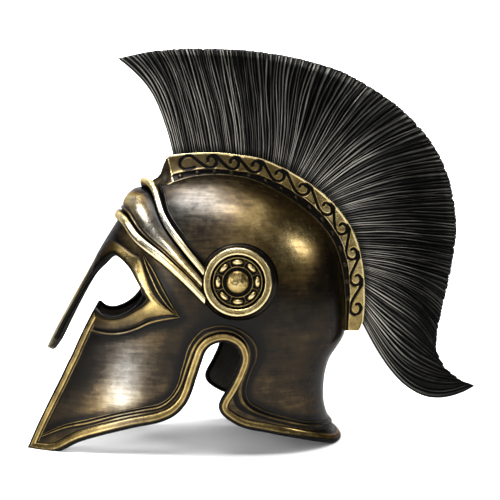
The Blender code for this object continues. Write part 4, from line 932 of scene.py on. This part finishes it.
def build_roundels(ground, finish):
    """Stepped drum, ring and rosette with petals, wires and boss."""
    centre, out = ground.seat(skin(*find_skin(*ROUNDEL_CENTRE)))
    up = np.array([0.0, 0.0, 1.0])
    up = unit(up - out * (up @ out))
    angles = 2.0 * math.pi * np.arange(ROUNDEL_TURNS) / ROUNDEL_TURNS
    spokes = np.cross(up, out) * np.cos(angles)[:, None] + up * np.sin(angles)[:, None]

    def ring(r, height):
        """Points round the roundel at radii and heights in millimetres."""
        r, height = r + 0.0 * angles, height + 0.0 * angles
        return centre + spokes * (r * MM)[..., None] + out * (height * MM)[..., None]

    def turned(name, rings, wear):
        """A piece of both roundels, from rings of points."""
        points = np.array(rings).reshape(-1, 3)
        faces = orient(points, grid_faces(len(rings), ROUNDEL_TURNS, closed=True), out)
        return both_sides(name, points, faces, wear, finish)

    def profile_wear(profile):
        """Wear of a turned profile, round the roundel."""
        return np.repeat([bright for _, _, bright in profile], ROUNDEL_TURNS)

    top = ROUNDEL_LIFT / MM
    rings = []
    for r, height, _ in DRUM_PROFILE:
        radius = r + max(r - 30.0, 0.0) * 0.55 * np.maximum(np.cos(angles), 0.0)
        goal = top + height
        if height < -0.2:
            depth = np.array([(ground.drop(p + out * 0.03, -out) - centre) @ out / MM
                              for p in ring(radius, goal)])
            goal = goal + (depth + 0.4 - goal) * np.interp(r, (31.0, 35.0), (0.0, 1.0))
            if r == DRUM_PROFILE[-1][0]:
                goal = depth - 0.5
        rings.append(ring(radius, goal))
    pieces = {"base": turned("visual_roundel_base", rings, profile_wear(DRUM_PROFILE))}
    low = top + 0.3
    rings = [ring(r, low + height) for r, height, _ in RING_PROFILE]
    pieces["ring"] = turned("visual_roundel_ring", rings, profile_wear(RING_PROFILE))
    r, a = np.meshgrid(np.concatenate([np.linspace(0.05, 23.0, 84), [23.4, 23.6]]), angles, indexing="ij")
    x, y = r * np.cos(a), r * np.sin(a)
    height = 0.9 + 0.0 * r
    bright = 0.04 + 0.0 * r
    for radius, half, rise, rub in ((21.4, 0.85, 1.5, 0.75), (13.4, 0.65, 1.1, 0.70)):
        height += rise * bump(r - radius, half)
        bright += rub * bump(r - radius, half)
    for k in range(PETALS):
        turns = [0.5 * math.pi + math.pi * n / PETALS for n in (2 * k, 2 * k + 1)]
        (u, v), (far, aside) = ((x * c + y * s, y * c - x * s)
                                for c, s in ((math.cos(turn), math.sin(turn)) for turn in turns))
        petal = bump(np.hypot((u - 17.4) / 2.6, v / 5.0), 1.0)
        height += 2.3 * petal ** 0.6
        bright += 0.95 * petal ** 0.4
        fork = 2.3 * np.clip((far - 17.5) / 4.0, 0.0, 1.0)
        wire = bump(np.abs(aside) - fork, 0.55) * (far > 13.4) * (far < 21.4) * (height < 1.6)
        height += 0.8 * wire
        bright += 0.55 * wire
    dome = bump(r, 10.4)
    lumps = ripple(np.stack([x, y, 0.0 * x], axis=-1).reshape(-1, 3) * MM, 420.0, 5).reshape(r.shape)
    height += 4.6 * dome ** 0.55 + 0.22 * lumps * dome ** 0.3
    bright += 0.82 * dome ** 0.3
    height[-1] = -0.2
    bright = np.clip(bright, 0.0, 1.0).ravel()
    pieces["rosette"] = turned("visual_roundel_rosette", ring(r, low + height), bright)
    return pieces


class MiddleLine:
    """The bowl's profile in the mirror plane under the crest holder."""

    def __init__(self):
        ahead = skin(np.zeros(160), np.linspace(row_at(HOLDER_FRONT_UP), 0.0, 160))
        behind = skin(np.full(320, 2.0), np.linspace(0.0, row_at(HOLDER_BACK_UP), 320))
        self.points = np.vstack([ahead, behind[1:]])
        self.along = travel(self.points)

    def at(self, share, reach=0.012):
        """Point and outward normal at a share of the line."""
        place = share * self.along[-1]
        point, before, after = (np.array([np.interp(place + step, self.along, self.points[:, k])
                                          for k in range(3)]) for step in (0.0, -reach, reach))
        way = after - before
        return point, unit(np.array([0.0, -way[2], way[1]]))

    def top(self, share):
        """Point on the holder's top face, in the mirror plane."""
        point, normal = self.at(share)
        return point + normal * read(HOLDER_RISE, share) * HOLDER_HEIGHT, normal


def scroll_distance(s, h):
    """Distance from places on the frieze to the running scroll, in metres."""
    wave = np.array([spline(SCROLL_WAVE, k / 40.0) for k in range(41)])
    hook = np.array([spline(SCROLL_HOOK, k / 16.0) for k in range(17)])
    lines = [hook * SCROLL_PERIOD + np.array([SCROLL_CURLS[0], 0.0])]
    for here, there in zip(SCROLL_CURLS, SCROLL_CURLS[1:]):
        lines.append(wave * np.array([there - here, SCROLL_PERIOD]) + np.array([here, 0.0]))
    best = np.full(s.shape, 1.0)
    for line in lines:
        near = (s > line[:, 0].min() - 0.004) & (s < line[:, 0].max() + 0.004)
        for a, b in zip(line, line[1:]):
            way = b - a
            at = np.clip(((s[near] - a[0]) * way[0] + (h[near] - a[1]) * way[1]) / (way @ way), 0.0, 1.0)
            away = np.hypot(s[near] - a[0] - at * way[0], h[near] - a[1] - at * way[1])
            best[near] = np.minimum(best[near], away)
    return best


def holder_relief(s, above, below, height, shares):
    """How far the holder's side stands out in millimetres, and its wear, row by row along the holder."""
    front = np.clip((shares - PANEL_FRONT) / 0.004, 0.0, 1.0)[:, None]
    edge = np.exp(-((shares - PANEL_FRONT - 0.003) / 0.0022) ** 4)[:, None]
    rib = bump(above - 1.2, 1.2)
    deep = np.minimum(read(FRIEZE, s[:, :1]), height - 3.0)
    panel = np.clip((deep - below) / 0.5, 0.0, 1.0)
    lip = np.maximum(bump(below - 0.8, 1.1), bump(below - deep + 1.1, 1.1))
    depth = 17.7 + 1.5 * rib ** 0.5 + panel * 1.3 * front
    bright = 0.10 + 0.42 * rib + panel * read(PANEL_WEAR, s) * front
    away = scroll_distance(s, (SCROLL_MIDDLE - below) * MM) - SCROLL_HALF * SCROLL_PERIOD
    groove = np.clip(1.0 - away / 0.0005, 0.0, 1.0) * panel * front * (below < deep - 0.9) * (below > 1.2)
    depth += (0.55 * lip * panel - 1.15 * groove) * front
    top_lip = (lip * panel * front > 0.3) & (below < 3.0)
    bright = np.where(top_lip, 0.95, bright + 0.10 * lip * panel * front) * (1.0 - 0.97 * groove)
    strip_middle = 0.5 * (height - deep) + 1.2
    for k in range(BEADS):
        away = np.hypot((s - BEAD_FIRST - k * BEAD_STEP) / MM, above - strip_middle)
        bead = bump(away, 2.3) * (1.0 - panel)
        depth += 1.7 * bead ** 0.5
        bright += 0.34 * bead
    depth += 0.7 * edge * (above > 1.5)
    bright = np.where((edge > 0.4) & (above > 2.0), 0.92, bright)
    plain = (1.0 - front) * (1.0 - edge)
    return np.minimum(depth + 0.9 * plain * (above > 2.4), 19.5), bright + 0.22 * plain


def build_holder(ground, line, finish):
    """Arched holder: rib on the skull, bead strip, frieze with the running scroll, lips and top."""
    shares = np.concatenate([np.linspace(0.0, 0.052, 50), np.linspace(0.052, 0.985, 640)[1:],
                             np.linspace(0.985, 1.0, 12)[1:]])
    along = shares * line.along[-1]
    flare = read(HOLDER_FLARE, along)
    frames = [line.at(share) for share in shares]
    low = []
    for (point, normal), wide in zip(frames, flare):
        start = point + np.array([HOLDER_HALF_WIDTH + wide, 0.0, 0.0]) + normal * HOLDER_HEIGHT
        low.append(float((ground.drop(start, -normal) - point) @ normal) - 0.0004)
    low = np.array(low)
    high = np.maximum(read(HOLDER_RISE, shares) * HOLDER_HEIGHT, np.maximum(low + 0.0016, 0.0012))
    q = np.linspace(0.0, 1.0, HOLDER_COLUMNS)
    h = low[:, None] + (high - low)[:, None] * q[None, :]
    depth, bright = holder_relief(along[:, None] + 0.0 * h, (h - low[:, None]) / MM, (high[:, None] - h) / MM,
                                  (high - low)[:, None] / MM, shares)
    depth = depth + flare[:, None] / MM * (1.0 - q[None, :]) ** 1.6
    sides = [(depth[:, j] * MM, h[:, j]) for j in range(HOLDER_COLUMNS)]
    wear = list(bright.T)
    for share in HOLDER_TOP:
        sink = 0.0007 if share < 0.9 else 0.0
        hollow = 0.0014 * (1.0 - share ** 2) * (shares < PANEL_FRONT + 0.002)
        sides.append((0.0192 * share + 0.0 * high, high - sink - hollow))
        wear.append(np.where(shares < PANEL_FRONT, 0.26, 0.85 if share > 0.9 else 0.12))
    points, normals = (np.array(values) for values in zip(*frames))
    left = np.stack([points + normals * up[:, None] + out[:, None] * np.array([1.0, 0.0, 0.0])
                     for out, up in sides], axis=1)
    wear = np.stack(wear, axis=1)
    grid = np.concatenate([left, (left * MIRROR)[:, ::-1][:, 1:]], axis=1)
    wear = np.concatenate([wear, wear[:, ::-1][:, 1:]], axis=1)
    rows, width = grid.shape[:2]
    points = grid.reshape(-1, 3)
    faces = [*orient(points, grid_faces(rows, width), np.array([0.0, 0.0, 1.0]))]
    for first, way in ((0, 1), ((rows - 1) * width, -1)):
        for k in range(width // 2):
            corners = tuple(dict.fromkeys(first + n for n in (k, k + 1, width - 2 - k, width - 1 - k)))
            if len(corners) > 2:
                faces.append(corners[::way])
    return make_object("visual_holder", points, faces, np.clip(wear, 0.0, 1.0).ravel(), finish)


def plume_spread(dense):
    """Share of the hair that stands before each place between the plume's rows."""
    rows = table_at(PLUME_ROWS, dense)
    tip_steps = np.diff(travel(rows[:, 1:3] * [PLUME_REACH, PLUME_TOP]))
    root_steps = np.diff(rows[:, 0])
    steps = tip_steps / tip_steps.sum() + np.maximum(root_steps, 0.0) / root_steps.sum()
    return np.concatenate([[0.0], np.cumsum(steps)]) / steps.sum()


def table_at(table, places):
    """Rows of a table at places between them."""
    rows = np.array(table)
    return between(np.vstack([2.0 * rows[0] - rows[1], rows, 2.0 * rows[-1] - rows[-2]]), places)


def headings(degrees):
    """Directions in the mirror plane."""
    return np.stack([np.cos(np.radians(degrees)), np.sin(np.radians(degrees))], axis=1)


def build_plume(line, finish):
    """Standing crest of stiff hair: fine ridges gathered into locks."""
    last = len(PLUME_ROWS) - 1
    dense = np.linspace(0.0, last, 400)
    count = HAIRS * HAIR_COLUMNS + 1
    rng = np.random.default_rng(7)
    widths = rng.uniform(0.55, 1.55, HAIRS)
    roots = np.concatenate([[0.0], np.cumsum(widths)]) * HAIRS / widths.sum()
    index = np.minimum(np.arange(count) // HAIR_COLUMNS, HAIRS - 1)
    within = (np.arange(count) - index * HAIR_COLUMNS) / HAIR_COLUMNS
    hair = roots[index] + (roots[index + 1] - roots[index]) * within
    places = np.interp(hair / HAIRS, plume_spread(dense), dense)
    root, reach, up, leave, arrive, bow, thick = table_at(PLUME_ROWS, places).T
    starts = []
    for share in np.clip(root, 0.0, 1.0):
        point, normal = line.top(PLUME_FIRST + (PLUME_LAST - PLUME_FIRST) * share)
        starts.append(point - normal * PLUME_SUNK)
    starts = np.array(starts)[:, 1:]
    tips = np.stack([reach * PLUME_REACH - MIDDLE_Y, up * PLUME_TOP], axis=1)
    away, home = headings(leave), headings(arrive)
    strength = rng.uniform(0.65, 1.15, HAIRS + 1)[index]
    shift = rng.uniform(-0.35, 0.35, HAIRS + 1)[index]
    splits = rng.uniform(0.35, 0.75, HAIRS + 1)[index]
    tip_out = rng.uniform(0.0, 1.0, HAIRS + 1)[index]
    lock_at = np.linspace(0.0, HAIRS, LOCKS + 1)[1:-1] + rng.uniform(-2.5, 2.5, LOCKS - 1)
    ridge = np.sqrt(bump(2.0 * within - 1.0, 1.0))
    lock = np.zeros(count)
    for at in roots[np.searchsorted(roots, lock_at)]:
        lock = np.maximum(lock, np.clip(1.0 - np.abs(hair - at) / 0.75, 0.0, 1.0))
    serration = 0.0003 * (1.0 - ridge) + 0.0005 * tip_out * ridge + 0.0004 * lock - 0.0024
    tips = tips - home * serration[:, None]
    handle = (bow * np.linalg.norm(tips - starts, axis=1))[:, None]
    u = np.linspace(0.0, 1.0, 40) ** 0.92
    spine = np.array([bezier(starts, starts + away * handle, tips - home * handle, tips, share)
                      for share in u])
    sideways = np.stack([-home[:, 1], home[:, 0]], axis=1)
    wobble = 0.0006 * np.sin(2.0 * math.pi * (1.3 * u[:, None] + shift * 3.0))
    wobble *= np.minimum(1.0, 3.0 * u[:, None])
    spine = spine + sideways * wobble[..., None]
    half = PLUME_HALF_THICK * thick * read(PLUME_ACROSS, u)[:, None]
    grow = np.clip(0.45 + 1.1 * u, 0.0, 1.0)[:, None] * np.minimum(1.0, thick)
    split = np.clip((u[:, None] - splits) / 0.15, 0.0, 1.0)
    carve = (1.0 - ridge) * 0.0026 * strength
    carve = carve + split * (1.0 - np.abs(np.sin(2.0 * math.pi * within))) * ridge * 0.0013
    carve = carve + lock * 0.0016 + 0.0007 * (strength - 0.65)
    half = np.maximum(half - carve * grow, 0.0009)
    tint = np.clip((u[:, None] - 0.72) / 0.28, 0.0, 1.0) * bump(places / last - 0.56, 0.34)
    ahead = np.clip(1.25 - 1.6 * places / last, 0.0, 1.0)
    # Pale lines on the ridge tops: partly rubbed finish, partly painted highlight.
    rub = read(RUB_AND_GLINT_BEHIND, u)[:, None] * (1.0 - ahead) + read(RUB_AND_GLINT_AHEAD, u)[:, None] * ahead
    bright = rub * (ridge ** 6 * (strength - 0.08)) + 0.14 * tint
    left = np.stack([half, spine[..., 0], spine[..., 1]], axis=-1)
    grid = np.concatenate([left, (left * MIRROR)[::-1]], axis=0)
    wear = np.concatenate([bright, bright[::-1]], axis=0)
    height, width = grid.shape[:2]
    points = grid.reshape(-1, 3)
    faces = grid_faces(height, width)
    corners = points[faces[0]]
    if np.cross(corners[1] - corners[0], corners[2] - corners[0])[0] < 0.0:
        faces = faces[:, ::-1]
    faces = [*faces]
    for column, way in ((0, 1), (width - 1, -1)):
        for k in range(height // 2 - 1):
            ring = [row * width + column for row in (k, k + 1, height - 2 - k, height - 1 - k)]
            faces.append(ring[::way])
    lengths = np.concatenate([u, u[::-1]])
    uv = np.stack([np.tile(hair / HAIRS, (height, 1)), np.tile(lengths[:, None], (1, width))], axis=-1)
    wear = np.clip(wear, 0.0, 1.0).ravel()
    return make_object("visual_plume", points, faces, wear, finish, uv.reshape(-1, 2))


class Finish:
    """A procedural material, built node by node."""

    def __init__(self, name, coordinates="Object"):
        self.material = bpy.data.materials.new(name)
        self.material.use_nodes = True
        self.tree = self.material.node_tree
        self.place = self.node("ShaderNodeTexCoord").outputs[coordinates]

    def node(self, kind, inputs=(), **settings):
        """A node with its settings, and with inputs set or linked in pairs of key and value."""
        node = self.tree.nodes.new(kind)
        for key, value in settings.items():
            setattr(node, key, value)
        self.fill(node, inputs)
        return node

    def fill(self, node, inputs):
        """Set or link inputs of a node."""
        for key, value in inputs:
            if isinstance(value, bpy.types.NodeSocket):
                self.tree.links.new(value, node.inputs[key])
            else:
                node.inputs[key].default_value = value

    def shade(self, inputs):
        """Fill the shader's inputs and give the finished material."""
        self.fill(self.tree.nodes["Principled BSDF"], inputs.items())
        return self.material

    def noise(self, scale, detail=4.0, rough=0.55, stretch=None, warp=0.0):
        """Noise between 0 and 1, stretched along the axes if asked."""
        place = self.place
        if stretch:
            mapping = self.node("ShaderNodeMapping", (("Vector", place), ("Scale", stretch)))
            place = mapping.outputs["Vector"]
        inputs = (("Vector", place), ("Scale", scale), ("Detail", detail), ("Roughness", rough),
                  ("Distortion", warp))
        return self.node("ShaderNodeTexNoise", inputs).outputs["Fac"]

    def add(self, value, gain, base=0.0):
        """A value times its gain, added to a base."""
        node = self.node("ShaderNodeMath", enumerate((value, gain, base)), operation="MULTIPLY_ADD")
        return node.outputs[0]

    def sway(self, value, gain, base=0.0):
        """A noise, taken as swaying about 0, added to a base."""
        return self.add(self.node("ShaderNodeMath", enumerate((value, 0.5)), operation="SUBTRACT").outputs[0],
                        gain, base)

    def spread(self, value, low, high, first=0.0, last=1.0):
        """Map a range onto another, clamped."""
        inputs = (("Value", value), ("From Min", low), ("From Max", high), ("To Min", first),
                  ("To Max", last))
        return self.node("ShaderNodeMapRange", inputs).outputs["Result"]

    def ramp(self, value, stops):
        """Colour stops along a value."""
        node = self.node("ShaderNodeValToRGB", (("Fac", value),))
        elements = node.color_ramp.elements
        for k, (at, colour) in enumerate(stops):
            element = elements[k] if k < 2 else elements.new(at)
            element.position = at
            element.color = (*colour, 1.0)
        return node.outputs["Color"]

    def bump(self, height, strength, distance, before=None):
        """Fine relief of the surface, over the relief before it."""
        inputs = [("Height", height), ("Strength", strength), ("Distance", distance)]
        if before is not None:
            inputs.append(("Normal", before))
        return self.node("ShaderNodeBump", inputs).outputs["Normal"]

    def painted(self, name):
        """A value kept at each point of the mesh."""
        return self.node("ShaderNodeAttribute", attribute_name=name).outputs["Fac"]

    def fade(self, colour, loss):
        """Take colour out of a tone and keep its brightness."""
        inputs = (("Color", colour), ("Saturation", self.spread(loss, 0.0, 1.0, 1.0, 0.0)))
        return self.node("ShaderNodeHueSaturation", inputs).outputs["Color"]


def bronze(name, tone, coat, scratch):
    """Antique bronze: black-brown patina in the hollows, rubbed to gold where wear is high, whitish where a
    highlight is painted.
    """
    finish = Finish(name)
    broad = finish.noise(22.0, 5.0, 0.60, warp=0.4)
    fine = finish.noise(150.0, 6.0, 0.65)
    streak = finish.noise(34.0, 4.0, 0.6, stretch=(1.0, 1.0, 9.0), warp=0.3)
    scratches = finish.noise(130.0, 3.0, 0.7, stretch=(1.0, 1.0, 12.0))
    wear = finish.painted("wear")
    mottle = finish.sway(streak, scratch, finish.sway(fine, 0.30, finish.sway(broad, 0.38)))
    amount = finish.add(mottle, finish.spread(wear, 0.0, 0.40, 0.15, 1.0), wear)
    normal = finish.bump(fine, 0.16, 0.0008, finish.bump(broad, 0.10, 0.004))
    return finish.shade({
        # Painted highlight: colour taken out at the whitish places.
        "Base Color": finish.fade(finish.ramp(amount, tone), finish.painted("pale_highlight")),
        "Metallic": finish.spread(amount, 0.05, 0.40, 0.96, 1.0),
        "Roughness": finish.sway(fine, 0.25, finish.spread(amount, 0.10, 0.80, 0.44, 0.25)),
        "Normal": finish.bump(scratches, 0.12, 0.0004, normal),
        "Specular Tint": EDGE_TINT,
        "Coat Weight": coat,
        "Coat Roughness": 0.24,
    })


def inner_patina():
    """Nearly black inside of the bowl and its cut edge."""
    finish = Finish("inner_patina")
    cloud = finish.noise(30.0, 5.0, 0.6)
    grain = finish.noise(260.0, 5.0, 0.6)
    return finish.shade({
        "Base Color": finish.ramp(finish.add(grain, 0.4, finish.add(cloud, 0.6)), INNER_TONES),
        "Metallic": 0.5,
        "Roughness": finish.spread(cloud, 0.3, 0.7, 0.62, 0.48),
        "Normal": finish.bump(grain, 0.2, 0.0008),
    })


def hair_finish():
    """Stiff hair: charcoal with fine strands, pale where it is rubbed and where highlights are painted on the
    ridges.
    """
    finish = Finish("plume_hair_visual", "UV")
    strands = finish.noise(1.0, 3.0, 0.6, stretch=(900.0, 5.0, 1.0))
    tufts = finish.noise(1.0, 3.0, 0.55, stretch=(90.0, 3.0, 1.0))
    amount = finish.sway(tufts, 0.30, finish.sway(strands, 0.45, finish.painted("wear")))
    return finish.shade({
        "Base Color": finish.ramp(amount, HAIR_TONES),
        "Metallic": 0.88,
        "Specular Tint": EDGE_TINT,
        "Roughness": finish.spread(strands, 0.3, 0.7, 0.40, 0.26),
        "Specular IOR Level": 0.25,
        "Coat Weight": 0.04,
        "Coat Roughness": 0.16,
        "Normal": finish.bump(strands, 0.35, 0.0007),
    })


def paper():
    """Plain pale studio floor and backdrop."""
    finish = Finish("studio_paper")
    grain = finish.noise(6.0, 3.0, 0.5)
    return finish.shade({"Base Color": finish.ramp(grain, PAPER_TONES), "Roughness": 0.9})


def build_stage():
    """Seamless floor and backdrop."""
    profile = [(3.0, 0.0), (-1.3, 0.0)]
    for angle in 0.5 * math.pi * np.arange(1, 13) / 12:
        profile.append((-1.3 - 0.9 * math.sin(angle), 0.9 - 0.9 * math.cos(angle)))
    profile.append((-2.2, 3.2))
    points = np.array([(x, y, z) for x, z in profile for y in (-4.0, 0.0, 4.0)])
    faces = orient(points, grid_faces(len(profile), 3), np.array([0.6, 0.0, 1.0]))
    floor = make_object("studio_floor", points, faces, np.zeros(len(points)), paper())


def build_camera():
    """The photograph's camera."""
    a, e, r = (math.radians(k) for k in (CAMERA_AZIMUTH, CAMERA_UP, CAMERA_ROLL))
    right = Vector((math.cos(a), math.sin(a), 0.0))
    back = Vector((math.sin(a) * math.cos(e), -math.cos(a) * math.cos(e), math.sin(e)))
    up = back.cross(right)
    data = bpy.data.cameras.new("camera")
    data.sensor_width = 36.0
    data.lens = CAMERA_LENS
    data.clip_start = 0.02
    camera = link("camera", data)
    matrix = Matrix((right * math.cos(r) - up * math.sin(r), right * math.sin(r) + up * math.cos(r), back))
    matrix = matrix.transposed().to_4x4()
    matrix.translation = Vector(CAMERA_AIM) + back * CAMERA_DISTANCE
    camera.matrix_world = matrix
    bpy.context.scene.camera = camera


def build_lights():
    """Soft studio light, and light on the backdrop."""
    world = bpy.data.worlds.new("studio")
    world.use_nodes = True
    background = world.node_tree.nodes["Background"].inputs
    background["Color"].default_value = (*WORLD_GREY, 1.0)
    background["Strength"].default_value = WORLD_LIGHT
    bpy.context.scene.world = world
    bpy.context.scene.view_settings.view_transform = "Standard"
    for name, place, aim, size, power in LIGHTS:
        data = bpy.data.lights.new(name, "AREA")
        data.shape = "RECTANGLE"
        data.size, data.size_y = size
        data.energy = power
        light = link(name, data)
        light.location = place
        light.rotation_euler = (Vector(aim) - Vector(place)).to_track_quat("-Z", "Y").to_euler()


def dress(piece, slot, *nodes):
    """A piece rides on the body and stands for its CAD nodes. Its slot is not used."""
    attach(piece, "root")
    if nodes:
        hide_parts(*nodes)


def dress_pair(pieces, slot, node=""):
    """A piece on the left and its mirror image, each for its own CAD node if there is one."""
    for piece, side in zip(pieces, ("_left", "_right")):
        dress(piece, slot, *([node + side] if node else []))


def main():
    """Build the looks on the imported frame."""
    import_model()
    build_camera()
    skull = bronze("shell_bronze", SHELL_TONES, 0.14, 0.34)
    gold = bronze("border_bronze", GOLD_TONES, 0.10, 0.14)
    ground = Ground(*mirror_bowl(*half_bowl()))
    path = EdgePath(EDGE, ground, EDGE_SPACING)
    lines = [table_points(table, count) for table, count in (
        (DOUBLE_INNER, 300), (LENS_BACK, 60), (LID_LOW, 60), (EYE_LINE, 60), (BAND_UPPER, 120),
        (BAND_LOWER, 120))]
    dress(build_shell(ground, lines, skull, inner_patina()), "aged_bronze", "helmet_shell")
    cheeks, nape, ridges = build_borders(ground, path, gold)
    dress_pair(cheeks, "rubbed_bronze", "cheek_border")
    dress(nape, "rubbed_bronze", "nape_border")
    for piece in ridges + build_line_strips(ground, gold):
        dress(piece, "rubbed_bronze")
    eyes, lips = build_eye(ground, path, gold)
    dress_pair(eyes, "rubbed_bronze", "eye_border")
    dress_pair(lips, "rubbed_bronze")
    band, rim_lower, rim_upper, brow_line = build_brow(ground, skull, gold)
    dress(band, "aged_bronze", "brow_band")
    dress(rim_lower, "rubbed_bronze", "brow_rim_lower")
    dress(rim_upper, "rubbed_bronze", "brow_rim_upper")
    dress(brow_line, "aged_bronze")
    for name, pair in build_roundels(ground, gold).items():
        dress_pair(pair, "dark_bronze" if name == "base" else "rubbed_bronze", "roundel_" + name)
    line = MiddleLine()
    dress(build_holder(ground, line, gold), "rubbed_bronze", "crest_holder")
    dress(build_plume(line, hair_finish()), "plume_hair", "crest_plume")
    build_stage()
    build_lights()


main()
